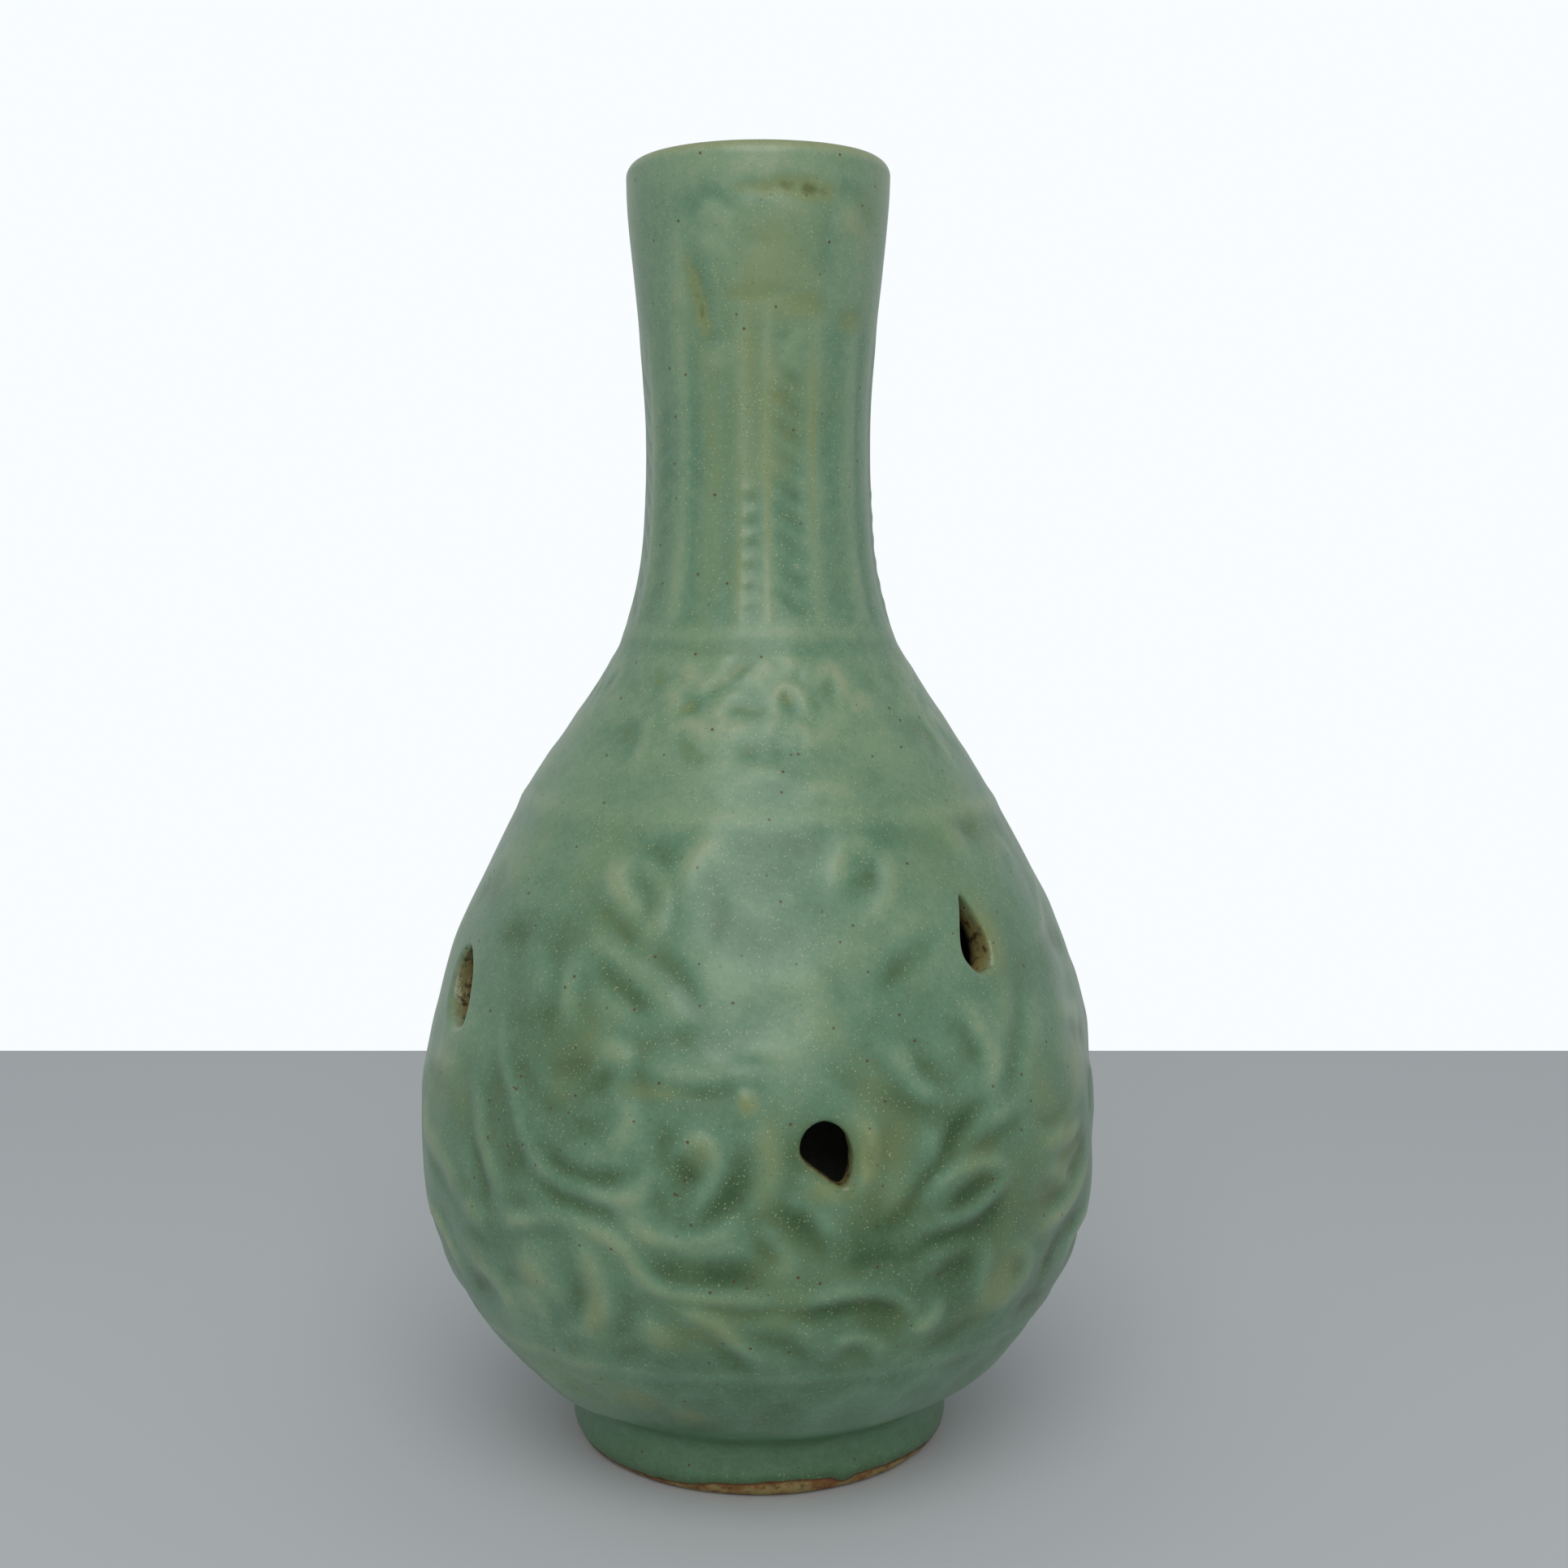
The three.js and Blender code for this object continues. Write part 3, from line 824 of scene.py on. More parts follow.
# One quarter of the band.
SCROLLS = (
    raised(0.7, 1.5, (-14.6, 177), (-12, 176.6), (-10.2, 178.6), (-8, 180), (-4.6, 180)),
    raised(0.8, 1.5, (5.6, 176.6), (6.6, 179.6), (9.4, 181.8), (13, 181.4), (15.6, 179), (17.4, 176)),
    sunk(1.0, 1.6, (8, 179), (10, 179.6), (12.4, 178.6)),
    sunk(0.7, 1.4, (-10, 177.8), (-5.4, 177.6), (0, 177), (3, 178)),
    sunk(1.0, 1.6, (-25.6, 176.4), (-22, 176.8), (-18.8, 178.6)),
    sunk(0.6, 1.3, (-17.6, 180), (-13.4, 182.6), (-7.4, 185), (-2, 188)),
    raised(0.7, 1.5, (-30, 180.6), (-27, 178.4), (-26.4, 175)),
    raised(0.7, 1.4, (-20.4, 180.8), (-17.4, 182.4), (-13, 184), (-9.4, 183)),
    raised(0.6, 1.4, (-27, 185), (-23.6, 185.4)),
    sunk(0.8, 1.4, (-37.4, 183.6), (-34.4, 182)),
    raised(0.6, 1.5, (-0.6, 186), (3, 186.4), (6.6, 185)),
    raised(0.7, 1.5, (9.6, 187.4), (12.6, 187), (16, 185.6)),
    raised(0.7, 1.5, (21.4, 180), (23, 184), (26.6, 185.8), (30, 184.6), (30.4, 181), (28, 177.4)),
    sunk(0.7, 1.4, (23.4, 180.4), (25, 182), (27, 181.6)),
    sunk(0.7, 1.7, (-20.8, 171), (-19, 168.4), (-16, 166.6), (-13, 167.6)),
    raised(0.6, 1.6, (-24, 172.6), (-21, 174.4), (-17.4, 173.4), (-15.4, 170.4)),
    raised(0.5, 1.6, (-9, 171), (-5.6, 173.6), (-1.6, 172.4)),
    sunk(0.6, 1.7, (-1.4, 170), (-2.6, 167.6)),
    raised(0.6, 1.6, (9.6, 170.6), (12.6, 173.6), (15.4, 172), (14.4, 168.8)),
    raised(0.4, 1.8, (17, 170), (20, 172.4), (23.6, 171)),
    sunk(0.5, 1.7, (29.6, 161.6), (32, 163.4)),
    raised(0.5, 1.7, (32, 176), (36, 179), (40.6, 178)),
    sunk(0.6, 1.5, (41.6, 182), (44, 181)),
    raised(0.5, 1.8, (-3, 163), (2, 164.6), (7, 163.6)),
    raised(0.4, 1.8, (12, 160.4), (17, 161.6), (22, 160)),
)

# The small curls that fill the band between the larger ones.
SMALL_CURLS = (
    raised(0.6, 1.2, (-25, 181.6), (-23, 183.6), (-20.4, 184)),
    raised(0.6, 1.2, (-14.6, 186.6), (-11, 187.6), (-7.6, 187)),
    raised(0.5, 1.2, (-5.6, 182.6), (-2.6, 184.6), (0.8, 183.4), (2, 180.6)),
    raised(0.5, 1.3, (3.4, 172), (5.4, 174.6), (8, 174.8)),
    raised(0.5, 1.3, (16.6, 182.6), (18.6, 184.8), (19.8, 187.4)),
    raised(0.5, 1.3, (-21, 173), (-23.6, 175.4), (-23, 178)),
    raised(0.5, 1.3, (-12, 171.6), (-10.4, 174.4), (-7.4, 175)),
    raised(0.4, 1.3, (22, 174.6), (25, 175.6), (27.6, 173.6)),
    sunk(0.5, 1.2, (-1.8, 181.2), (0.6, 180.6)),
    sunk(0.5, 1.2, (13.6, 184), (15.4, 183)),
    sunk(0.5, 1.2, (18.6, 177), (19.4, 180)),
    sunk(0.5, 1.2, (5, 170), (6.4, 168)),
)


class ShoulderPattern:
    """Small scrolls and blind dimples on the band between the belly and the neck."""

    def dimple(self, angle: float) -> Strokes:
        """A blind dimple and the soft fold beside it."""
        a = angle
        return (
            sunk(0.38, 3.2, (a - 6, 171), (a - 2.5, 172), (a + 1, 171.4), (a + 3, 169.6), (a + 1, 168)),
            raised(0.45, 1.5, (a + 4, 175.2), (a + 6, 172.4), (a + 7, 168.6), (a + 8, 163)),
            raised(0.3, 1.8, (a - 7, 174), (a - 2, 175.8), (a + 3, 175.4)),
        )

    def press(self, relief: ReliefMap) -> None:
        """Stamps the scrolls in four quarters, the dimples between them, and the neck's collar."""
        curls = SCROLLS + SMALL_CURLS
        relief.stamp(curls, turns=FRONT_AND_BACK)
        faint = tuple(replace(curl, height=0.5 * curl.height) for curl in curls)
        relief.stamp(faint, turns=(90.0, 270.0))
        relief.stamp(self.dimple(-40.0) + self.dimple(56.5), turns=FRONT_AND_BACK)
        z, _, turn = relief.grid()
        level = ripple(turn, (0.25, 1, 1.0), (0.15, 4, 0.0))
        strength = 0.7 + ripple(turn, (0.3, 2, 2.0))
        collar = 0.45 * strength * bell(z - 192.4 - level, 1.5)
        relief.lay(collar, 0.5 * strength * bell(z - 190.3 - level, 1.0))


# The leaves' tips and the folds of the panel above them.
TIPS = (
    sunk(0.45, 1.3, (-15, 267.2), (-8, 266.6), (0, 266.2), (8, 267.2), (16, 266.8)),
    sunk(0.45, 1.3, (16, 266.8), (22, 265.4), (29, 264.6), (35, 265)),
    sunk(0.50, 1.4, (41, 262.4), (46, 261.6), (51, 262.4), (57, 265)),
    sunk(0.7, 2.3, (-33, 275), (-29, 271.6), (-26.8, 267), (-26.4, 263.4), (-24, 259.8)),
    sunk(0.50, 1.6, (-25, 259.4), (-22, 256.8), (-17.6, 258)),
    raised(0.45, 2.2, (-23, 254), (-17, 252.4), (-12, 256.4)),
    sunk(0.45, 2.0, (9, 259), (13, 257.4), (17, 259.4)),
    raised(0.40, 1.6, (13, 252.6), (17.6, 256.2), (22, 259.8)),
    raised(0.45, 2.2, (7, 248), (12, 251), (16, 252.6)),
    sunk(0.40, 1.4, (11, 246.6), (16, 245.4), (22, 243)),
    sunk(0.60, 2.0, (-32, 288), (-28, 285.6), (-22, 288.4), (-16, 286.8), (-11, 285)),
    raised(0.40, 2.2, (-25, 282.6), (-20, 285), (-15, 282.4), (-11, 278)),
    raised(0.45, 2.4, (-26, 276.6), (-20, 277.8), (-14, 276)),
    sunk(0.65, 1.5, (-9, 288.4), (-3, 289.4), (4, 288.8), (11, 289.8), (18, 289.6), (25, 288.8),
            (33, 288.8)),
    sunk(0.40, 1.2, (36, 289.4), (43, 290.2), (50, 288.4)),
    sunk(0.50, 2.4, (50, 286), (55, 284.6), (60, 283)),
    raised(0.40, 2.4, (10, 283.6), (16, 285.2), (23, 283)),
    sunk(0.35, 1.2, (-6, 278.4), (0, 277.6), (6, 277)),
    sunk(0.40, 2.2, (26, 275), (31, 273.6), (31.6, 279)),
    sunk(0.35, 1.2, (32.6, 268), (32.4, 276), (32.2, 284)),
    raised(0.45, 2.6, (38, 281), (44, 284), (49, 281)),
    raised(0.50, 2.2, (-38, 262), (-37, 272), (-36, 282)),
)


@dataclass(frozen=True)
class NeckPattern:
    """Tall plantain leaves side by side: each has a rib, gutters and slanting veins."""

    ribs: tuple[tuple[float, float, float], ...] = (
        (-38.5, 4.6, 0.45),
        (-7.0, 2.4, 0.60),
        (5.0, 1.8, 0.65),
        (28.5, 2.2, 0.32),
        (52.0, 2.0, 0.50),
    )
    gutters: tuple[tuple[float, float, float], ...] = (
        (-32.0, 1.5, 0.40),
        (-14.0, 2.8, 0.28),
        (-0.8, 1.8, 0.35),
        (13.5, 5.0, 0.15),
        (39.0, 4.6, 0.18),
        (57.5, 2.4, 0.35),
    )
    turns: tuple[float, ...] = (0.0, 92.0, 180.0, 268.0)
    span: Levels = Levels(0.0, ((192.5, 197.0, 1.0), (256.0, 266.0, -1.0)))

    def press(self, relief: ReliefMap) -> None:
        """Presses ribs and gutters as Gaussian bands of angle, then the veins and the top edge."""
        z, theta, _ = relief.grid()
        span = self.span.at(z)
        for turn in self.turns:
            for angle, width, amount in self.ribs:
                relief.lay(ridges=amount * bell(apart(theta, angle + turn), width) * span)
            for angle, width, amount in self.gutters:
                relief.lay(hollows=amount * bell(apart(theta, angle + turn), width) * span)
        relief.stamp(self.veins(), turns=self.turns)
        relief.stamp(TIPS, turns=FRONT_AND_BACK)

    def veins(self) -> Strokes:
        """The slanting veins to the right of the rib and the nicks along its left side."""
        veins = [
            sunk(0.95, 1.3, (9.5, z + 4.6), (14.0, z + 2.4), (19.5, z), (23.0, z - 1.0))
            for z in np.arange(198.0, 252.0, 6.2)
        ]
        veins += [
            sunk(0.5, 1.1, (34.0, z), (38.5, z + 1.8), (44.0, z + 3.6))
            for z in np.arange(200.0, 244.0, 6.4)
        ]
        nicks = (197, 201.6, 206.4, 211.6, 216.6, 221.8)
        veins += [sunk(0.8, 1.0, (-5.0, z), (-2.4, z + 0.7), (0.4, z + 1.2)) for z in nicks]
        veins += [raised(0.9, 1.1, (-9.4, z + 2.2), (-6.4, z + 2.4), (-3.2, z + 3.0)) for z in nicks]
        return tuple(veins)


# ---- Meshes


@dataclass
class Mesh:
    """Grids of points and the faces between them, gathered into one closed mesh.

    Attributes:
        points: positions in millimetres, one array for each grid.
        normals: the points' own normals, or zeros where they follow from the faces.
        marks: pool, ochre, burn and bare at each point.
        quads: four-sided faces.
        triangles: three-sided faces.
        count: how many points there are.
    """

    points: list[Array] = field(default_factory=list)
    normals: list[Array] = field(default_factory=list)
    marks: list[Array] = field(default_factory=list)
    quads: list[Array] = field(default_factory=list)
    triangles: list[Array] = field(default_factory=list)
    count: int = 0

    def add(self, points: Array, marks: Array, normals: Array | None = None) -> Array:
        """Adds points and returns their numbers, in the points' own grid shape.

        Args:
            points: positions, shape (..., 3).
            marks: pool, ochre, burn and bare, shape (..., 4) or one row for all points.
            normals: unit normals, shape (..., 3), or None.
        """
        shape = points.shape[:-1]
        number = self.count + np.arange(int(np.prod(shape))).reshape(shape)
        self.count += number.size
        self.points.append(points.reshape(-1, 3))
        self.marks.append(np.broadcast_to(marks, shape + (len(MARKS),)).reshape(-1, len(MARKS)))
        given = np.zeros_like(points) if normals is None else normals
        self.normals.append(given.reshape(-1, 3))
        return number

    def weave(self, rows: Array, keep: Array | None = None, inward: bool = False) -> None:
        """Adds the quads between neighbouring rows of point numbers, each row a closed ring.

        Args:
            rows: point numbers, shape (rows, columns).
            keep: which quads to add, shape (rows - 1, columns), or None for all.
            inward: turns the faces over.
        """
        after = np.roll(rows, -1, axis=1)
        quads = np.stack([rows[:-1], after[:-1], after[1:], rows[1:]], axis=-1)
        quads = quads.reshape(-1, 4) if keep is None else quads[keep]
        self.quads.append(quads[:, ::-1] if inward else quads)

    def fan(self, fine: Array, coarse: Array, inward: bool = False) -> None:
        """Adds the triangles between a closed ring and a coarser one inside it.

        Args:
            fine: point numbers of the outer ring, a whole multiple of the inner ring's count.
            coarse: point numbers of the inner ring.
            inward: turns the faces over.
        """
        per = len(fine) // len(coarse)
        ring = np.append(fine, fine[0])
        start, after = coarse, np.roll(coarse, -1)
        first = np.arange(len(coarse)) * per
        faces = [
            np.stack([ring[first + k], ring[first + k + 1], start if k < per / 2 else after], axis=-1)
            for k in range(per)
        ]
        faces.append(np.stack([ring[first + (per + 1) // 2], after, start], axis=-1))
        triangles = np.concatenate(faces)
        self.triangles.append(triangles[:, ::-1] if inward else triangles)

    def cap(self, ring: Array, centre: int, inward: bool = False) -> None:
        """Closes a ring with triangles round one centre point."""
        triangles = np.stack([ring, np.roll(ring, -1), np.full(len(ring), centre)], axis=-1)
        self.triangles.append(triangles[:, ::-1] if inward else triangles)

    def build(self, name: str, finish: bpy.types.Material) -> bpy.types.Object:
        """Makes the object, in metres, without points that no face uses.

        Args:
            name: the object's name.
            finish: its material.
        """
        quads = np.concatenate(self.quads)
        triangles = np.concatenate(self.triangles) if self.triangles else np.zeros((0, 3), int)
        used = np.zeros(self.count, bool)
        used[quads] = True
        used[triangles] = True
        renumber = np.cumsum(used) - 1
        corners = np.concatenate([renumber[quads].ravel(), renumber[triangles].ravel()])
        sizes = np.concatenate([np.full(len(quads), 4), np.full(len(triangles), 3)])
        points = np.concatenate(self.points)[used] * MM
        normals = np.concatenate(self.normals)[used]
        marks = np.concatenate(self.marks)[used]

        data = bpy.data.meshes.new(name)
        data.vertices.add(len(points))
        data.vertices.foreach_set("co", points.astype(np.float32).ravel())
        data.loops.add(len(corners))
        data.loops.foreach_set("vertex_index", corners.astype(np.int32))
        data.polygons.add(len(sizes))
        starts = np.concatenate([[0], np.cumsum(sizes)[:-1]])
        data.polygons.foreach_set("loop_start", starts.astype(np.int32))
        data.polygons.foreach_set("use_smooth", np.ones(len(sizes), bool))
        data.update(calc_edges=True)
        for column, mark in enumerate(MARKS):
            layer = data.attributes.new(mark, "FLOAT", "POINT")
            layer.data.foreach_set("value", marks[:, column].astype(np.float32))
        if normals.any():
            data.normals_split_custom_set_from_vertices(normals.tolist())
        data.materials.append(finish)
        made = bpy.data.objects.new(name, data)
        bpy.context.scene.collection.objects.link(made)
        LOG.info("%s: %d faces", name, len(sizes))
        return made


def looped(grid: Array, marks: Array, normals: Array) -> Mesh:
    """Makes a closed ring of a grid whose last row joins the first.

    Args:
        grid: positions, shape (rows, columns, 3).
        marks: pool, ochre, burn and bare, shape (rows, columns, 4).
        normals: unit normals, or zeros where they follow from the faces.
    """
    made = Mesh()
    number = made.add(grid, marks, normals)
    made.weave(np.concatenate([number, number[:1]]))
    return made


def capped(grid: Array, low: float, high: float) -> Mesh:
    """Makes a body of bare clay of a turned grid, closed on the axis.

    Args:
        grid: positions, shape (rows, columns, 3), from the underside's middle to the top's.
        low: the underside's height on the axis.
        high: the top's height on the axis.
    """
    made = Mesh()
    clay = np.array([0.5, 0.0, 0.0, ALL_BARE])
    number = made.add(grid, clay)
    ends = made.add(np.array([[0.0, 0.0, low], [0.0, 0.0, high]]), clay)
    made.weave(number)
    made.cap(number[0], ends[0], inward=True)
    made.cap(number[-1], ends[1])
    return made


def softened(corners: list[Point], step: float, width: float) -> Array:
    """Samples an open profile evenly and rounds its corners with a Gaussian blur along its length.

    Args:
        corners: (radius, height) corners.
        step: millimetres between two samples.
        width: the Gaussian's standard deviation in millimetres.

    Returns:
        Samples, shape (n, 2).
    """
    p = np.array(corners, float)
    length = np.concatenate([[0], np.cumsum(np.hypot(*np.diff(p, axis=0).T))])
    at = np.linspace(0, length[-1], round(length[-1] / step) + 1)
    line = np.stack([np.interp(at, length, p[:, 0]), np.interp(at, length, p[:, 1])], axis=-1)
    reach = math.ceil(3 * width / step)
    kernel = np.exp(-0.5 * (np.arange(-reach, reach + 1) * step / width) ** 2)
    kernel /= kernel.sum()
    padded = np.pad(line, ((reach, reach), (0, 0)), mode="reflect", reflect_type="odd")
    return np.stack([np.convolve(padded[:, k], kernel, "valid") for k in (0, 1)], axis=-1)


# ---- Sections of the vase


@dataclass(frozen=True)
class Wall:
    """The relief-covered outside of the vase and the smooth inside behind it.

    Attributes:
        outline: the smooth outside.
        relief: what stands out from it.
    """

    outline: Outline
    relief: ReliefMap

    TURN_STEP = 0.15
    RISE_STEP = 0.2

    def outside(self, theta: Array, z: Array) -> Array:
        """Returns points on the relief at these angles and heights."""
        theta, z = np.broadcast_arrays(theta, z)
        return self.outline.place(theta, z, self.relief.read(self.relief.height, theta, z))

    def facing(self, theta: Array, z: Array) -> Array:
        """Returns the relief's unit normals: the cross product of its steps round and up."""
        theta, z = np.broadcast_arrays(np.asarray(theta, float), np.asarray(z, float))
        around = self.outside(theta + self.TURN_STEP, z) - self.outside(theta - self.TURN_STEP, z)
        upward = self.outside(theta, z + self.RISE_STEP) - self.outside(theta, z - self.RISE_STEP)
        normal = np.cross(around, upward)
        return normal / np.linalg.norm(normal, axis=-1, keepdims=True)

    def marks(self, theta: Array, z: Array) -> Array:
        """Returns the glaze's pool and ochre there, with no burn and no bare clay."""
        pool = self.relief.read(self.relief.pool, theta, z)
        ochre = self.relief.read(self.relief.ochre, theta, z)
        return np.stack([pool, ochre, np.zeros_like(pool), np.zeros_like(pool)], axis=-1)

    def inside(self, theta: Array, z: Array, thickness: float, narrow: float, wide: float) -> Array:
        """Returns points on the inside: the outline, moved in by the thickness square to it.

        Args:
            theta: angles.
            z: heights.
            thickness: the wall's thickness.
            narrow: the least radius.
            wide: the greatest radius.
        """
        r = self.outline.radius(z) - thickness * np.hypot(1, self.outline.slope(z))
        return spin(np.radians(theta), np.clip(r, narrow, wide), z)


@dataclass(frozen=True)
class Lip:
    """The edge of an opening, as rings that lead over it and through the wall.

    Attributes:
        front: the outer edge's rounding.
        back: the inner edge's rounding.
        spread: where the rings on the outside lie, from the woven wall at 0 to the lip at 1.
        warm: how brown the last of those rings are.
        bends: angles of the rings over the outer edge.
        depths: depths of the rings on the cut.
        back_bends: angles of the rings over the inner edge.
        inside_shade: how dark the inner edge is painted, as painted shade inside the opening.
        thinned: how much shallower the glaze is over the lip.
    """

    front: float = 1.6
    back: float = 1.2
    spread: tuple[float, ...] = (
        0.09, 0.18, 0.27, 0.36, 0.45, 0.54, 0.62, 0.7, 0.77, 0.83, 0.88, 0.92, 0.96, 1.0
    )
    warm: tuple[float, ...] = (0.02, 0.06, 0.12)
    bends: tuple[float, ...] = (10.0, 22.0, 35.0, 48.0, 62.0, 76.0, 90.0)
    depths: tuple[float, ...] = (3.0, 4.2, 5.2)
    back_bends: tuple[float, ...] = (30.0, 60.0, 90.0)
    inside_shade: float = 0.95
    thinned: float = 0.22

    def rings(
        self, opening: Opening, direction: Array, span: Array, thickness: float
    ) -> list[tuple[Array, float, Array | float]]:
        """Lays out the rings; over the lip they are out by r(1 - sin a) and down by r(1 - cos a).

        Args:
            opening: the opening.
            direction: the rays' directions in radians.
            span: the woven wall's distance along each ray.
            thickness: the wall's thickness.

        Returns:
            Each ring's distances from the opening's middle, its depth and how brown it is: rust from scorch
            at the lip, darkening to painted shade deeper in the cut.
        """
        reach = opening.reach(direction)
        facing = np.cos(direction - math.radians(opening.scorched_side))
        scorch = opening.scorch * (0.35 + 0.65 * np.maximum(0.0, facing))
        warm = (0.0,) * (len(self.spread) - len(self.warm)) + self.warm
        rings = [(span + (reach + self.front - span) * w, 0.0, scorch_and_shade) for w, scorch_and_shade in zip(self.spread, warm)]
        bends = np.radians(self.bends)
        for a in bends:
            out = reach + self.front * (1 - math.sin(a))
            rings.append((out, self.front * (1 - math.cos(a)), 0.12 + 0.42 * scorch * (a / bends[-1])))
        # Deeper in the cut each ring is darker, from rust to the near-black of painted shade; the inner edge
        # takes the full painted shade.
        for k, depth in enumerate(self.depths):
            rings.append((reach, depth, 0.24 + 0.36 * scorch + 0.14 * k))
        for a in np.radians(self.back_bends):
            out = reach + self.back * (1 - math.cos(a))
            rings.append((out, thickness - self.back * (1 - math.sin(a)), self.inside_shade))
        return rings


@dataclass(frozen=True)
class Cloth:
    """A section's two woven grids while it is being made.

    Attributes:
        made: the mesh.
        wall: the wall it follows.
        theta: the outside's angles.
        z: the outside's heights.
        outer: point numbers of the outside.
        inner: point numbers of the coarser inside.
    """

    made: Mesh
    wall: Wall
    theta: Array
    z: Array
    outer: Array
    inner: Array


@dataclass(frozen=True)
class Section:
    """One thrown or pressed section, between two seams.

    Attributes:
        name: the piece's name, and the CAD node's.
        low: the lower seam's height.
        high: the upper seam's height.
        rows: rows of points up the outside, a multiple of 4.
        columns: points round the outside, a multiple of 4.
        thickness: the wall's thickness.
        narrow: the inside's least radius.
        throat: the inside's greatest radius up to throat_top.
        throat_top: the height where the bore starts to widen.
        openings: openings through it.
        lip: the openings' edge.
    """

    name: str
    low: float
    high: float
    rows: int
    columns: int
    thickness: float
    narrow: float = 0.0
    throat: float = 999.0
    throat_top: float = 999.0
    openings: tuple[Opening, ...] = ()
    lip: Lip = Lip()

    COARSE = 4
    HOLE_SPAN = 10.0
    HOLE_RISE = 11.0
    FLARE = 14.0
    # Painted shade inside the body: the inside wall is near-black brown deep in the vase and lighter towards
    # the mouth.
    INSIDE_SHADE = Levels(1.0, ((232.0, 286.0, -0.8),))

    def inside(self, wall: Wall, theta: Array, z: Array) -> Array:
        """Returns points on the inside, with the throat's limit let go above throat_top."""
        wide = self.throat + self.FLARE * ease(z, self.throat_top, self.throat_top + self.FLARE)
        return wall.inside(theta, z, self.thickness, self.narrow, wide)

    def mesh(self, wall: Wall) -> Mesh:
        """Weaves the outside, the coarser inside and the two seam faces, then cuts the openings."""
        made = Mesh()
        z = wall.outline.levels(self.low, self.high, self.rows)
        theta = round_angles(self.columns)
        grid = (theta[None, :], z[:, None])
        outer = made.add(wall.outside(*grid), wall.marks(*grid), wall.facing(*grid))
        within = self.inside(wall, theta[None, :: self.COARSE], z[:: self.COARSE, None])
        # The inside wall takes the painted shade by height.
        inside_shade = self.INSIDE_SHADE.at(within[..., 2])
        dry = np.zeros_like(inside_shade)
        inner = made.add(within, np.stack([dry + 0.5, dry + 0.3, inside_shade, dry], axis=-1))
        blocks = self._blocks(z)
        self._weave_round(made, outer, 1, blocks)
        self._weave_round(made, inner, self.COARSE, blocks)
        made.fan(outer[-1], inner[-1])
        made.fan(outer[0], inner[0], inward=True)
        cloth = Cloth(made, wall, theta, z, outer, inner)
        for opening, block in zip(self.openings, blocks):
            self._pierce(cloth, opening, block)
        return made

    def _blocks(self, z: Array) -> list[tuple[int, int, int, int]]:
        """Returns the first and last column and the lowest and highest row round each opening."""
        step = 360.0 / self.columns * self.COARSE
        lines = z[:: self.COARSE]
        found = []
        for opening in self.openings:
            first = round((opening.angle - self.HOLE_SPAN) / step)
            last = round((opening.angle + self.HOLE_SPAN) / step)
            low = max(int(np.abs(lines - (opening.z - self.HOLE_RISE)).argmin()), 1)
            high = int(np.abs(lines - (opening.z + self.HOLE_RISE)).argmin())
            found.append(tuple(line * self.COARSE for line in (first, last, low, high)))
        return found

    def _weave_round(
        self, made: Mesh, grid: Array, scale: int, blocks: list[tuple[int, int, int, int]]
    ) -> None:
        """Weaves a grid and leaves out the blocks.

        Args:
            made: the mesh.
            grid: point numbers.
            scale: the outside's lines for each line of the grid; the inside's is more than 1.
            blocks: the blocks, on the outside's lines.
        """
        rows, columns = grid.shape
        keep = np.ones((rows - 1, columns), bool)
        for first, last, low, high in blocks:
            keep[low // scale : high // scale, np.arange(first // scale, last // scale) % columns] = False
        made.weave(grid, keep, inward=scale > 1)

    def _pierce(self, cloth: Cloth, opening: Opening, block: tuple[int, int, int, int]) -> None:
        """Fills a block with rings whose points lie on rays from the opening's middle.

        Args:
            cloth: the section so far.
            opening: the opening.
            block: first and last column and lowest and highest row.
        """
        first, last, low, high = block
        cols, rows = np.arange(first, last + 1), np.arange(low, high + 1)
        along, beside = len(cols) - 1, len(rows) - 1
        col = np.concatenate([cols[:-1], np.full(beside, last), cols[:0:-1], np.full(beside, first)])
        row = np.concatenate([np.full(along, low), rows[:-1], np.full(along, high), rows[:0:-1]])
        part = slice(None, None, self.COARSE)
        edge = cloth.outer[row, col % self.columns]
        coarse_col = (col[part] // self.COARSE) % cloth.inner.shape[1]
        coarse_edge = cloth.inner[row[part] // self.COARSE, coarse_col]

        x = (col * 360.0 / self.columns - opening.angle) * opening.scale(cloth.wall.outline)
        y = cloth.z[row] - opening.z
        direction, span = np.arctan2(y, x), np.hypot(x, y)
        ray = np.stack([np.cos(direction), np.sin(direction)], axis=-1)
        laid = self.lip.rings(opening, direction, span, self.thickness)
        rings = [self._ring(cloth, opening, ray, *ring) for ring in laid]
        cloth.made.weave(np.stack([edge] + rings))
        middle = 0.5 * (span + laid[-1][0])[part]
        # The hidden ring in the middle of the cut is fully dark, as painted shade.
        hidden = self._ring(cloth, opening, ray[part], middle, self.thickness, 1.0)
        cloth.made.fan(rings[-1], hidden)
        cloth.made.weave(np.stack([hidden, coarse_edge]))

    def _ring(
        self,
        cloth: Cloth,
        opening: Opening,
        ray: Array,
        distance: Array,
        depth: float,
        brown: Array | float,
    ) -> Array:
        """Adds one closed ring of points.

        Args:
            cloth: the section so far.
            opening: the opening.
            ray: unit directions from its middle, [across, up].
            distance: distances along them.
            depth: how deep in the wall it lies.
            brown: how brown it is: rust from scorch at low values, the near-black brown of painted shade at
                high ones.

        Returns:
            The points' numbers.
        """
        theta = opening.angle + ray[:, 0] * distance / opening.scale(cloth.wall.outline)
        z = opening.z + ray[:, 1] * distance
        face = cloth.wall.outside(theta, z)
        behind = self.inside(cloth.wall, theta, z)
        marks = cloth.wall.marks(theta, z)
        marks[:, 0] -= self.lip.thinned * min(depth / self.lip.back, 1.0)
        marks[:, 2] = brown
        return cloth.made.add(face + (behind - face) * (depth / self.thickness), marks)


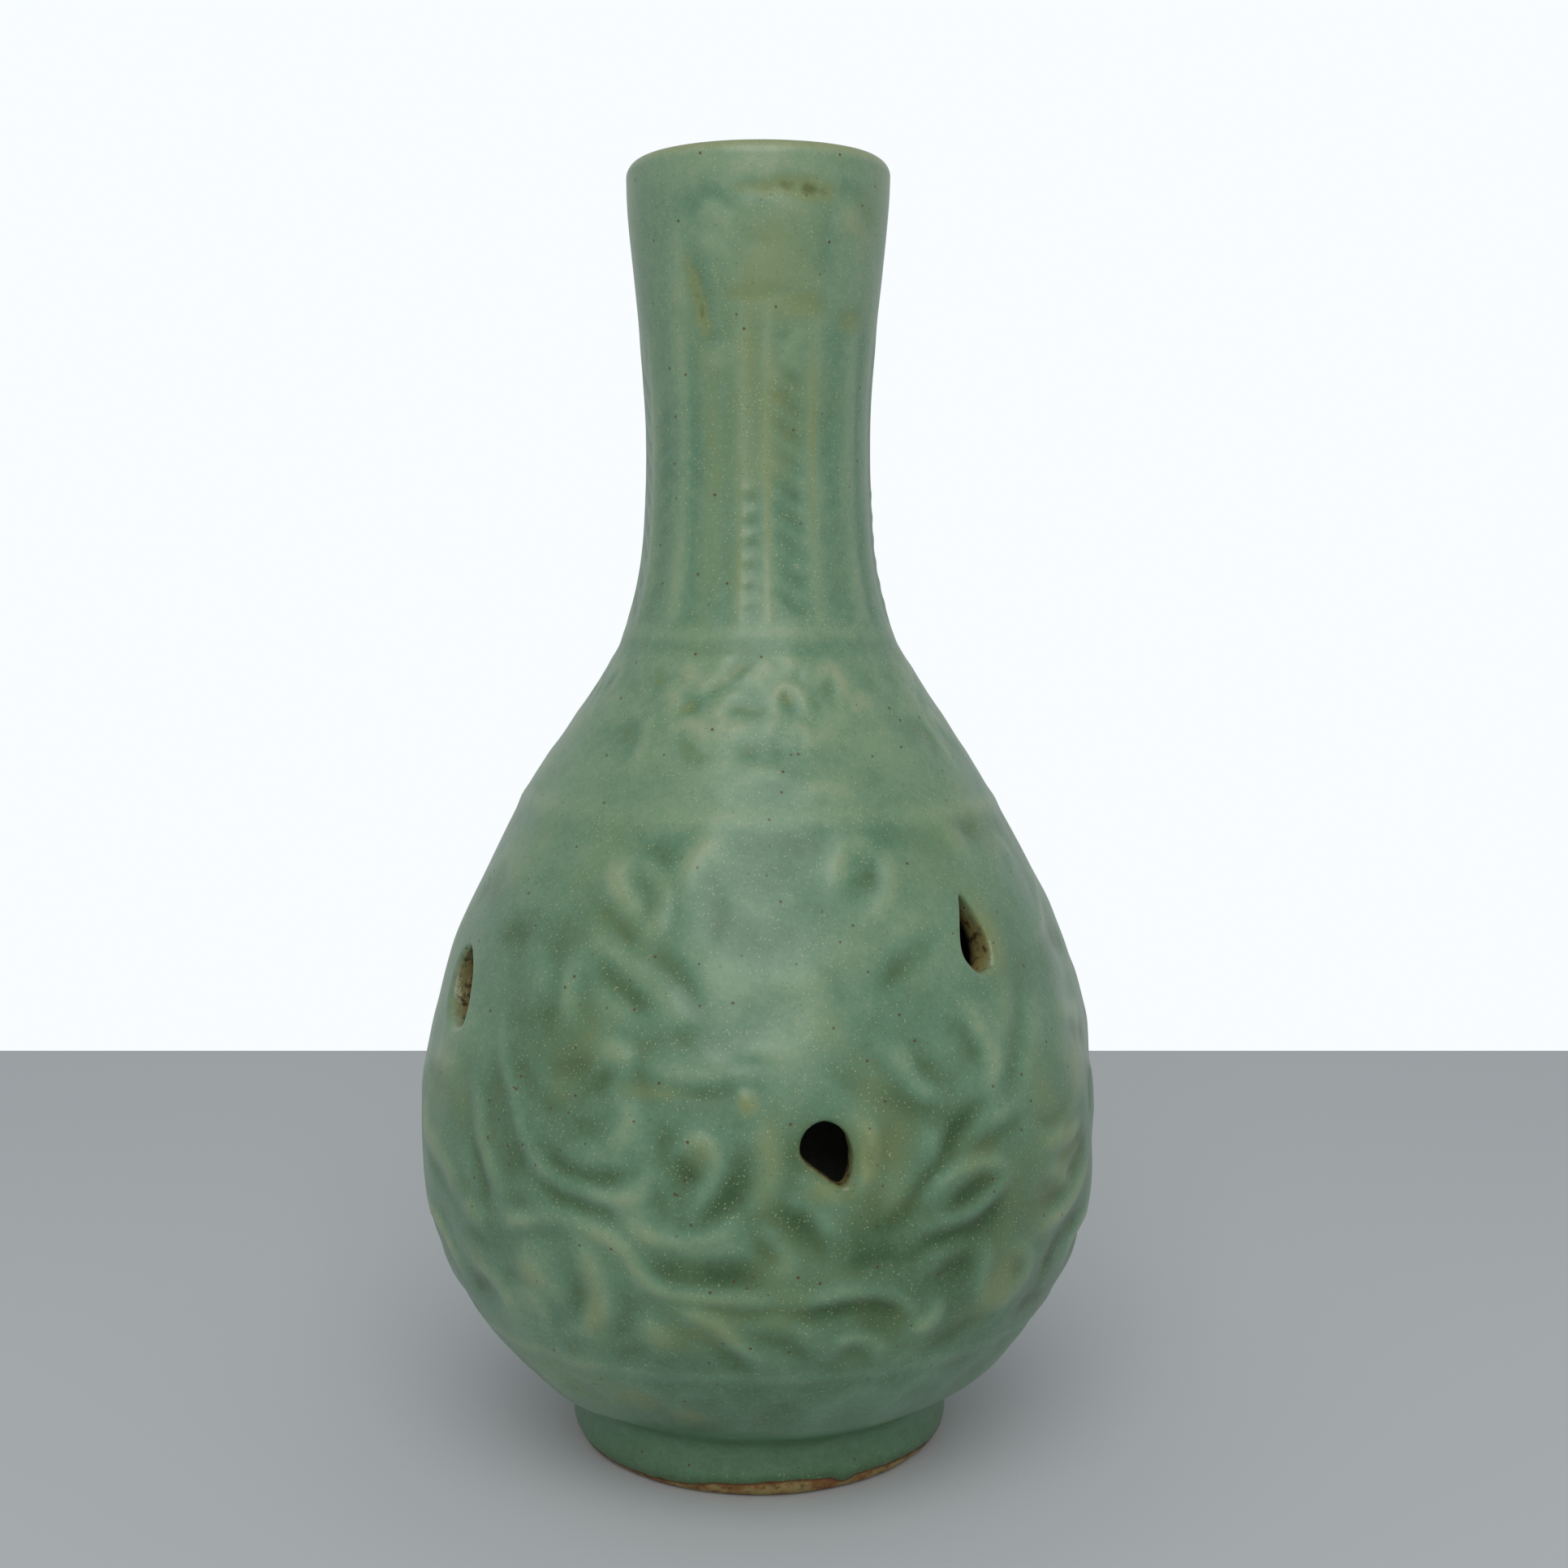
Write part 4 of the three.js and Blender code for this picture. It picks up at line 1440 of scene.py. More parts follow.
@dataclass(frozen=True)
class FootRing:
    """The turned foot: glazed outside down to a wavering line, bare clay below and inside.

    Attributes:
        columns: points round it.
        waist: the height where the bevel ends.
        standing: the standing face's outer radius.
        inside: the (radius, height) corners from the seam to the standing face.
        wall_rows: rows of points above the bevel.
        bevel_rows: rows of points on it.
        line: the height at which the glaze stops.
        runs: where it stops elsewhere: (angle, width, rise).
        shadow: the height of a band of painted shadow under the belly's overhang, laid as deeper glaze.
    """

    columns: int = 480
    waist: float = 4.6
    standing: float = 41.6
    inside: tuple[Point, ...] = ((36.4, FOOT_SEAM), (36.4, 8.7), (33.2, 8.7), (36.8, 1.2), (38.2, 0.0))
    wall_rows: int = 34
    bevel_rows: int = 19
    line: float = 3.1
    runs: tuple[tuple[float, float, float], ...] = (
        (12, 20, 1.3), (-52, 24, -0.9), (26, 3.2, -1.4), (-12, 4, 0.5), (170, 30, 0.9)
    )
    shadow: float = 13.4

    def glaze_line(self, theta: Array) -> Array:
        """Returns the height at which the glaze stops."""
        line = self.line + ripple(np.radians(theta), (0.35, 3, 0.5), (0.25, 7, 2.0))
        return line + sum(rise * bell(apart(theta, angle), width) for angle, width, rise in self.runs)

    def bevel(self, turn: Array, waist: Array) -> Array:
        """Returns the bevel's points, a little uneven.

        Args:
            turn: angles in radians.
            waist: the radius at its top, at each angle.
        """
        rise = np.linspace(0.0, 1.0, self.bevel_rows + 1)[:-1, None]
        bulge = 0.35 * rise + 0.65 * np.sin(rise * np.pi / 2) ** 0.8
        wobble = ripple(turn, (0.125, 5, 1.0), (0.09, 11, 0.0), (0.05, 23, 2.0)) * np.sin(rise * np.pi)
        return spin(turn, self.standing + (waist - self.standing) * bulge + wobble, self.waist * rise**1.35)

    def mesh(self, wall: Wall) -> Mesh:
        """Turns the profile: the bevel, the wall up to the seam, and the inside down again."""
        theta = round_angles(self.columns)
        turn = np.radians(theta)[None, :]
        upper = np.linspace(self.waist, FOOT_SEAM, self.wall_rows)[:, None]
        outside = wall.outside(theta[None, :], upper)
        lower = self.bevel(turn, np.hypot(outside[0, :, 0], outside[0, :, 1])[None, :])
        profile = softened(list(self.inside), 0.8, 0.5)
        r, z = profile[:, :1], profile[:, 1:]
        chatter = 0.06 * np.sin(40 * turn + z)
        grid = np.concatenate([lower, outside, spin(turn, r + chatter, np.maximum(z, 0.0))])

        glazed = slice(len(lower), len(lower) + len(outside))
        line = self.glaze_line(theta)[None, :]
        heights = grid[..., 2]
        marks = np.zeros(heights.shape + (len(MARKS),))
        marks[..., 0] = 0.56 + 0.01 * (16 - heights) + 0.12 * ease(line + 2.2 - heights, 0.0, 2.0)
        # Painted shadow: a band of darker glaze colour under the belly's overhang.
        marks[glazed, :, 0] += 0.10 * bell(upper - self.shadow, 1.8)
        at_seam = np.full(self.columns, FOOT_SEAM)
        blend = ease(upper, 13.5, FOOT_SEAM)
        marks[glazed, :, 0] = marks[glazed, :, 0] * (1 - blend) + wall.marks(theta, at_seam)[:, 0] * blend
        marks[..., 3] = 1.0 + line - heights
        marks[glazed.stop :, :, 3] = ALL_BARE
        normals = np.zeros_like(grid)
        normals[glazed.stop - 1] = wall.facing(theta, at_seam)
        return looped(grid, marks, normals)


@dataclass(frozen=True)
class MouthLip:
    """The rolled lip, a little lower at the left.

    Attributes:
        columns: points round it.
        corner: the height where the outer rounding starts.
        outside: the outer rounding.
        inside: the inner rounding.
        bore: the bore's radius.
        top: the lip's height.
        crown: the heights over which the glaze thins and turns ochre.
        tilted: the heights over which it starts to lean.
        bore_rows: rows of points down the bore.
        inside_shade: how far the bore is darkened, as the faint end of the painted shade inside the vase.
    """

    columns: int = 360
    corner: float = 296.6
    outside: float = 3.4
    inside: float = 2.2
    bore: float = 24.4
    top: float = 300.0
    crown: Point = (296.2, 299.4)
    tilted: Point = (291.5, 297.0)
    bore_rows: int = 7
    inside_shade: float = 0.2

    def profile(self, edge: Array) -> tuple[Array, Array]:
        """Returns the radii and heights from the outer corner over the top and down the bore.

        Args:
            edge: the outer corner's radius at each angle, shape (1, columns).
        """
        out = np.radians(np.linspace(0, 90, 16))[1:, None]
        back = np.radians(np.linspace(90, 180, 12))[:, None]
        down = np.linspace(self.top - self.inside, LIP_SEAM, self.bore_rows + 1)[1:, None]
        r_out = edge - self.outside + self.outside * np.cos(out)
        r_in = self.bore + self.inside + self.inside * np.cos(back)
        r_top = r_out[-1:] + (r_in[:1] - r_out[-1:]) * np.linspace(0, 1, 6)[1:-1, None]
        level = np.zeros_like(edge)
        r = [r_out, r_top, r_in + level, self.bore + 0 * down + level]
        z = [
            self.corner + self.outside * np.sin(out) + level,
            np.full_like(r_top, self.top),
            self.top - self.inside + self.inside * np.sin(back) + level,
            down + level,
        ]
        return np.concatenate(r), np.concatenate(z)

    def mesh(self, wall: Wall) -> Mesh:
        """Joins the wall's outside to two rounded corners and the bore."""
        theta = round_angles(self.columns)
        turn = np.radians(theta)[None, :]
        rows = np.linspace(LIP_SEAM, self.corner, 22)[:, None]
        outer = wall.outside(theta[None, :], rows)
        edge = np.hypot(outer[-1, :, 0], outer[-1, :, 1])[None, :]
        grid = np.concatenate([outer, spin(turn, *self.profile(edge))])
        tilt = ripple(turn, (0.28, 1, 0.0), (-0.06, 3, 1.0)) - 0.34
        grid[..., 2] += tilt * ease(grid[..., 2], *self.tilted)
        grid[..., 2] = np.minimum(grid[..., 2], self.top)
        marks = np.zeros(grid.shape[:2] + (len(MARKS),))
        marks[: len(outer)] = wall.marks(*np.broadcast_arrays(theta[None, :], rows))
        marks[len(outer) :, :, 0] = marks[len(outer) - 1, :, 0]
        crown = ease(grid[..., 2], *self.crown)
        marks[..., 0] -= 0.30 * crown
        marks[..., 1] += 0.55 * crown
        # Painted shade: the bore is a little darker, like the inside below it.
        marks[-self.bore_rows :, :, 2] = self.inside_shade
        normals = np.zeros_like(grid)
        normals[0] = wall.facing(theta, np.full(self.columns, LIP_SEAM))
        return looped(grid, marks, normals)


@dataclass(frozen=True)
class BaseDisc:
    """The floor of the vase: a flat disc, slightly hollow underneath, with turning marks."""

    columns: int = 180
    corners: tuple[Point, ...] = (
        (0.0, 10.2), (14.0, 9.9), (29.2, 9.0), (36.0, 9.0), (36.0, 15.0), (0.0, 15.0)
    )
    ring_height: float = 0.1
    ring_step: float = 2.6

    def mesh(self) -> Mesh:
        """Turns the profile, with marks on the underside's middle."""
        profile = softened(list(self.corners), 0.8, 0.45)
        r, z = profile[1:-1, :1], profile[1:-1, 1:]
        r = np.maximum(r, 0.0)
        under = ease(12.0 - z, 0.0, 2.0) * ease(29.0 - r, 0.0, 3.0)
        z = z + self.ring_height * np.sin(2 * np.pi * r / self.ring_step) * under
        turn = np.radians(round_angles(self.columns))[None, :]
        return capped(spin(turn, r, z), profile[0, 1], profile[-1, 1])


@dataclass(frozen=True)
class InnerLiner:
    """The plain thrown jar inside, which keeps the water from the pierced wall."""

    columns: int = 240
    wall: float = 4.5
    floor: float = 6.0
    outline: tuple[Point, ...] = ((15.05, 33.5), (60.0, 36.0), (105.0, 34.5), (150.0, 29.0), (190.3, 25.6))
    side: Levels = Levels(0.0, ((24.0, 30.0, 1.0), (180.0, 186.0, -1.0)))
    ring_height: float = 0.35
    ring_step: float = 8.5

    def mesh(self) -> Mesh:
        """Turns the profile, with throwing rings and a slightly oval wall."""
        heights, radii = np.array(self.outline).T
        bottom, top = heights[0], heights[-1]
        up = np.linspace(bottom, top, 60)
        down = np.linspace(top, bottom + self.floor, 50)
        outside = list(zip(hermite(heights, radii, up), up))
        inside = list(zip(hermite(heights, radii, down) - self.wall, down))
        profile = softened([(0.0, bottom)] + outside + inside + [(0.0, bottom + self.floor)], 2.0, 0.7)
        r, z = np.maximum(profile[:, :1], 0.0), np.clip(profile[:, 1:], bottom, top)
        low, high = z[0, 0], z[-1, 0]
        r, z = r[1:-1], z[1:-1]
        turn = np.radians(round_angles(self.columns))[None, :]
        rings = self.ring_height * np.sin(2 * np.pi * z / self.ring_step)
        oval = 0.12 * np.sin(2 * turn + 0.02 * z)
        return capped(spin(turn, r + self.side.at(z) * (rings + oval), z), low, high)


# ---- Finishes


def linear(red: int, green: int, blue: int) -> Colour:
    """Turns an 8-bit sRGB colour into linear light."""
    parts = [v / 255.0 for v in (red, green, blue)]
    r, g, b = (v / 12.92 if v <= 0.04045 else ((v + 0.055) / 1.055) ** 2.4 for v in parts)
    return (r, g, b, 1.0)


class Graph:
    """A small helper that adds shader nodes to one material and links them."""

    def __init__(self, name: str) -> None:
        """Starts an empty node tree with a Principled shader.

        Args:
            name: the material's name.
        """
        self.material = bpy.data.materials.new(name)
        self.material.use_nodes = True
        self.nodes = self.material.node_tree.nodes
        self.links = self.material.node_tree.links
        self.nodes.clear()
        output = self.nodes.new("ShaderNodeOutputMaterial")
        self.shader = self.nodes.new("ShaderNodeBsdfPrincipled")
        self.links.new(self.shader.outputs[0], output.inputs[0])

    def put(self, socket: Socket, value: object) -> None:
        """Links an output to a socket, or sets the socket to a plain value."""
        if isinstance(value, bpy.types.NodeSocket):
            self.links.new(value, socket)
        else:
            socket.default_value = value

    def attribute(self, name: str) -> Socket:
        """Reads a mesh attribute as a number."""
        node = self.nodes.new("ShaderNodeAttribute")
        node.attribute_name = name
        return node.outputs["Fac"]

    def place(self) -> Socket:
        """Reads the position in the object's own space, in metres."""
        return self.nodes.new("ShaderNodeTexCoord").outputs["Object"]

    def maths(self, kind: str, a: object, b: object = 0.0, c: object = 0.0) -> Socket:
        """Adds a maths node and returns its result."""
        node = self.nodes.new("ShaderNodeMath")
        node.operation = kind
        for socket, value in zip(node.inputs, (a, b, c)):
            self.put(socket, value)
        return node.outputs[0]

    def product(self, *values: object) -> Socket:
        """Multiplies two or more values."""
        result = values[0]
        for value in values[1:]:
            result = self.maths("MULTIPLY", result, value)
        return result

    def shaken(self, value: object, *noises: tuple[Socket, float]) -> Socket:
        """Adds noises to a value, each centred on 0 and scaled by its amount."""
        for noise, amount in noises:
            value = self.maths("ADD", value, self.maths("MULTIPLY_ADD", noise, amount, -amount / 2))
        return value

    def step(self, value: object, low: float, high: float, to: float = 1.0) -> Socket:
        """Rises smoothly from 0 at low to a top value at high; a low above high falls instead."""
        node = self.nodes.new("ShaderNodeMapRange")
        node.interpolation_type = "SMOOTHSTEP"
        bounds = (low, high, 0.0, to) if low < high else (high, low, to, 0.0)
        self.put(node.inputs["Value"], value)
        for name, bound in zip(("From Min", "From Max", "To Min", "To Max"), bounds):
            node.inputs[name].default_value = bound
        return node.outputs[0]

    def noise(self, where: object, size: float, detail: float = 2.0, rough: float = 0.5) -> Socket:
        """Returns smooth noise about 0.5, with features of a size in millimetres."""
        node = self.nodes.new("ShaderNodeTexNoise")
        self.put(node.inputs["Vector"], where)
        node.inputs["Scale"].default_value = 1.0 / (size * MM)
        node.inputs["Detail"].default_value = detail
        node.inputs["Roughness"].default_value = rough
        return node.outputs["Fac"]

    def ramp(self, value: object, stops: tuple[tuple[float, Colour], ...]) -> Socket:
        """Reads a colour from stops."""
        node = self.nodes.new("ShaderNodeValToRGB")
        self.put(node.inputs[0], value)
        band = node.color_ramp
        while len(band.elements) < len(stops):
            band.elements.new(0.5)
        for element, (position, colour) in zip(band.elements, stops):
            element.position = position
            element.color = colour
        return node.outputs["Color"]

    def mix(self, factor: object, a: object, b: object) -> Socket:
        """Mixes two colours."""
        node = self.nodes.new("ShaderNodeMix")
        node.data_type = "RGBA"
        self.put(node.inputs["Factor"], factor)
        self.put([s for s in node.inputs if s.name == "A" and s.type == "RGBA"][0], a)
        self.put([s for s in node.inputs if s.name == "B" and s.type == "RGBA"][0], b)
        return [s for s in node.outputs if s.type == "RGBA"][0]

    def bump(self, height: object, depth: float, normal: object = None) -> Socket:
        """Tilts the shading normal by a height of that many millimetres."""
        node = self.nodes.new("ShaderNodeBump")
        node.inputs["Strength"].default_value = 1.0
        node.inputs["Distance"].default_value = depth * MM
        self.put(node.inputs["Height"], height)
        if normal is not None:
            self.put(node.inputs["Normal"], normal)
        return node.outputs[0]


@dataclass(frozen=True)
class Specks:
    """One kind of speck, scattered by cells.

    Attributes:
        size: the distance between two cells in millimetres.
        edge: where a speck ends and where it is full, in cells from its middle.
        strength: how far it covers what is under it.
        chosen: the tones, from none to all, at which a cell has a speck.
        colour: its colour.
    """

    size: float
    edge: Point
    strength: float
    chosen: Point
    colour: Colour

    def cover(self, g: Graph, where: Socket) -> Socket:
        """Returns how far the specks cover each point."""
        node = g.nodes.new("ShaderNodeTexVoronoi")
        g.put(node.inputs["Vector"], where)
        node.inputs["Scale"].default_value = 1.0 / (self.size * MM)
        near = g.step(node.outputs["Distance"], *self.edge, self.strength)
        return g.product(near, g.step(node.outputs["Color"], *self.chosen))


@dataclass(frozen=True)
class CeladonGlaze:
    """Green glaze, pale where it thins over ridges and dark where it pools in hollows."""

    depths: tuple[tuple[float, Colour], ...] = (
        (0.05, linear(152, 164, 130)),
        (0.3, linear(124, 152, 120)),
        (0.5, linear(99, 135, 106)),
        (0.74, linear(79, 110, 76)),
        (0.97, linear(54, 84, 47)),
    )
    buff: Colour = linear(130, 143, 92)
    ochre: Colour = linear(84, 90, 40)
    rust: Colour = linear(128, 116, 72)
    rust_dark: Colour = linear(66, 50, 26)
    # brown is the near-black colour of painted shade inside the openings and the body.
    brown: Colour = linear(30, 32, 25)
    clay: Colour = linear(134, 88, 46)
    clay_pale: Colour = linear(158, 138, 86)
    clay_dark: Colour = linear(84, 54, 28)
    grit: Specks = Specks(0.72, (0.29, 0.07), 1.0, (0.46, 0.66), linear(196, 192, 140))
    grain: Specks = Specks(0.95, (0.22, 0.07), 0.65, (0.54, 0.62), linear(190, 192, 150))
    pinholes: Specks = Specks(1.05, (0.19, 0.06), 0.6, (0.38, 0.32), linear(58, 54, 34))
    iron: Specks = Specks(3.0, (0.16, 0.07), 0.85, (0.65, 0.70), linear(84, 56, 32))
    roughness: float = 0.33
    ior: float = 1.5

    def material(self) -> bpy.types.Material:
        """Builds the glaze from the pool, ochre, burn and bare marks and fine procedural grain."""
        g = Graph(Slot.GLAZE.value)
        where = g.place()
        broad = g.noise(where, 17.0, 3.0)
        fine = g.noise(where, 2.6, 3.0, 0.6)
        depth = g.shaken(g.attribute("pool"), (broad, 0.16), (fine, 0.26), (g.noise(where, 0.8, 1.0), 0.16))
        colour = g.ramp(depth, self.depths)
        stain = g.shaken(g.attribute("ochre"), (fine, 0.4))
        colour = g.mix(g.step(stain, 0.0, 0.8, 0.72), colour, self.buff)
        colour = g.mix(g.step(stain, 0.75, 1.15, 0.75), colour, self.ochre)
        colour = self._speckled(g, where, broad, colour)
        colour = self._scorched_and_shaded(g, where, fine, colour)
        edge = g.shaken(g.attribute("bare"), (fine, 1.1))
        colour = g.mix(g.step(edge, 0.85, 1.15), colour, self._bare(g, where, fine, edge))
        g.put(g.shader.inputs["Base Color"], colour)
        cut = g.step(g.attribute("scorch_and_shade"), 0.1, 0.4)
        gloss = g.maths("MULTIPLY_ADD", cut, -0.13, self.roughness)
        g.put(g.shader.inputs["Roughness"], g.maths("ADD", g.step(edge, 0.85, 1.15, 0.6), gloss))
        g.put(g.shader.inputs["IOR"], self.ior)
        skin = g.maths("MULTIPLY_ADD", g.product(fine, cut), 12.0, g.noise(where, 1.1, 2.0, 0.55))
        waves = g.bump(g.noise(where, 6.5, 1.0), 0.09)
        g.put(g.shader.inputs["Normal"], g.bump(skin, 0.035, waves))
        return g.material

    def _speckled(self, g: Graph, where: Socket, broad: Socket, colour: Socket) -> Socket:
        """Scatters the four kinds of speck over a colour; the foot has few pale ones."""
        bare = g.attribute("bare")
        cluster = g.maths("MULTIPLY_ADD", g.step(g.noise(where, 5.0, 2.0), 0.4, 0.62), 0.6, 0.4)
        gritty = g.product(g.step(broad, 0.2, 0.6, 0.85), cluster, g.step(bare, -3.0, 0.0))
        colour = g.mix(g.product(self.grit.cover(g, where), gritty), colour, self.grit.colour)
        grainy = g.product(self.grain.cover(g, where), g.step(bare, -4.0, 0.0))
        colour = g.mix(grainy, colour, self.grain.colour)
        for dark in (self.pinholes, self.iron):
            colour = g.mix(dark.cover(g, where), colour, dark.colour)
        return colour

    def _scorched_and_shaded(self, g: Graph, where: Socket, fine: Socket, colour: Socket) -> Socket:
        """Turns a colour rusty where an edge is scorched, then to the near-black brown of painted shade
        deeper inside the openings and the body.
        """
        scorch_and_shade_level = g.shaken(g.attribute("scorch_and_shade"), (fine, 0.3))
        spots = g.step(g.noise(where, 1.6, 3.0), 0.48, 0.68)
        colour = g.mix(g.step(scorch_and_shade_level, 0.12, 0.62), colour, g.mix(spots, self.rust, self.rust_dark))
        # Painted shade: the higher marks turn near-black brown inside the openings and the body.
        return g.mix(g.step(scorch_and_shade_level, 0.55, 1.0), colour, self.brown)

    def _bare(self, g: Graph, where: Socket, fine: Socket, edge: Socket) -> Socket:
        """Returns the foot's bare clay, darkest beside the glaze."""
        streaks = g.step(g.noise(where, 7.0, 4.0, 0.6), 0.42, 0.6)
        rusty = g.mix(g.step(fine, 0.5, 0.68, 0.7), g.mix(streaks, self.clay_pale, self.clay), self.clay_dark)
        return g.mix(g.step(edge, 1.0, 2.1), self.clay_dark, rusty)


@dataclass(frozen=True)
class BareStoneware:
    """Unglazed stoneware, grey with rusty freckles."""

    light: Colour = linear(134, 136, 122)
    dark: Colour = linear(98, 99, 86)
    freckles: Specks = Specks(2.4, (0.2, 0.08), 0.7, (0.55, 0.62), linear(66, 42, 26))
    roughness: float = 0.82

    def material(self) -> bpy.types.Material:
        """Builds the clay from two sizes of noise and scattered freckles."""
        g = Graph(Slot.CLAY.value)
        where = g.place()
        colour = g.mix(g.step(g.noise(where, 12.0, 3.0), 0.3, 0.7), self.dark, self.light)
        colour = g.mix(self.freckles.cover(g, where), colour, self.freckles.colour)
        g.put(g.shader.inputs["Base Color"], colour)
        g.put(g.shader.inputs["Roughness"], self.roughness)
        g.put(g.shader.inputs["Normal"], g.bump(g.noise(where, 0.9, 3.0, 0.6), 0.06))
        return g.material


# ---- Studio


@dataclass(frozen=True)
class Studio:
    """A pale floor, soft light all round and one tall softbox above the camera, in metres."""

    floor: Colour = linear(205, 209, 212)
    floor_half: float = 1.2
    floor_back: float = 0.38
    floor_gap: float = 0.0002
    world: Colour = (0.95, 0.98, 1.0, 1.0)
    overhead: float = 0.6
    ahead: float = 0.56
    behind: float = 0.66
    key_power: float = 6.6
    key_size: Point = (0.9, 1.1)
    key_rise: float = 42.0
    key_distance: float = 1.2
    camera_at: tuple[float, float, float] = (0.006, -0.4724, 0.206)
    camera_tilt: float = 84.0
    lens: float = 45.9
    sensor: float = 36.0

    def build(self) -> None:
        """Adds the floor, the surroundings, the softbox and the camera."""
        scene = bpy.context.scene
        scene.view_settings.view_transform = "Standard"
        self._lay_floor(scene)
        scene.world = self._dome()
        self._light(scene)
        self._camera(scene)

    def _lay_floor(self, scene: bpy.types.Scene) -> None:
        """Adds a wide floor just under the standing face."""
        half, back = self.floor_half, self.floor_back
        low = CAD_BOX[0][2] - self.floor_gap
        data = bpy.data.meshes.new("floor")
        corners = [(-half, -half, low), (half, -half, low), (half, back, low), (-half, back, low)]
        data.from_pydata(corners, [], [(0, 1, 2, 3)])
        g = Graph("floor")
        g.put(g.shader.inputs["Base Color"], self.floor)
        g.put(g.shader.inputs["Roughness"], 0.9)
        data.materials.append(g.material)
        made = bpy.data.objects.new("floor", data)
        scene.collection.objects.link(made)

    def _dome(self) -> bpy.types.World:
        """Makes surroundings that are dimmer overhead and in front, and plain white where seen."""
        world = bpy.data.worlds.new("studio")
        world.use_nodes = True
        nodes, links = world.node_tree.nodes, world.node_tree.links
        background = nodes["Background"]
        background.inputs["Color"].default_value = self.world
        parts = nodes.new("ShaderNodeSeparateXYZ")
        links.new(nodes.new("ShaderNodeTexCoord").outputs["Generated"], parts.inputs[0])
        shades = []
        ranges = (("Z", 0.3, 0.75, 1.0, self.overhead), ("Y", 0.5, 0.88, self.ahead, self.behind))
        for axis, *bounds in ranges:
            shade = nodes.new("ShaderNodeMapRange")
            shade.interpolation_type = "SMOOTHSTEP"
            for name, value in zip(("From Min", "From Max", "To Min", "To Max"), bounds):
                shade.inputs[name].default_value = value
            links.new(parts.outputs[axis], shade.inputs["Value"])
            shades.append(shade.outputs[0])
        seen = nodes.new("ShaderNodeLightPath").outputs["Is Camera Ray"]
        strength = shades[0]
        for kind, other in (("MULTIPLY", shades[1]), ("MAXIMUM", seen)):
            node = nodes.new("ShaderNodeMath")
            node.operation = kind
            links.new(strength, node.inputs[0])
            links.new(other, node.inputs[1])
            strength = node.outputs[0]
        links.new(strength, background.inputs["Strength"])
        return world

    def _light(self, scene: bpy.types.Scene) -> None:
        """Adds a rectangular lamp in front, above the camera, that faces the middle of the vase."""
        data = bpy.data.lights.new("key", "AREA")
        data.shape = "RECTANGLE"
        data.size, data.size_y = self.key_size
        data.energy = self.key_power
        lamp = bpy.data.objects.new("key", data)
        up = math.radians(self.key_rise)
        away = Vector((0.0, -math.cos(up), math.sin(up)))
        low, high = CAD_BOX
        lamp.location = (Vector(low) + Vector(high)) / 2 + away * self.key_distance
        lamp.rotation_euler = away.to_track_quat("Z", "Y").to_euler()
        scene.collection.objects.link(lamp)

    def _camera(self, scene: bpy.types.Scene) -> None:
        """Adds the camera, level across and tilted a little down."""
        data = bpy.data.cameras.new("camera")
        data.lens = self.lens
        data.sensor_width = self.sensor
        data.clip_start = 0.01
        camera = bpy.data.objects.new("camera", data)
        camera.location = self.camera_at
        camera.rotation_euler = (math.radians(self.camera_tilt), 0.0, 0.0)
        scene.collection.objects.link(camera)
        scene.camera = camera


# ---- The vase


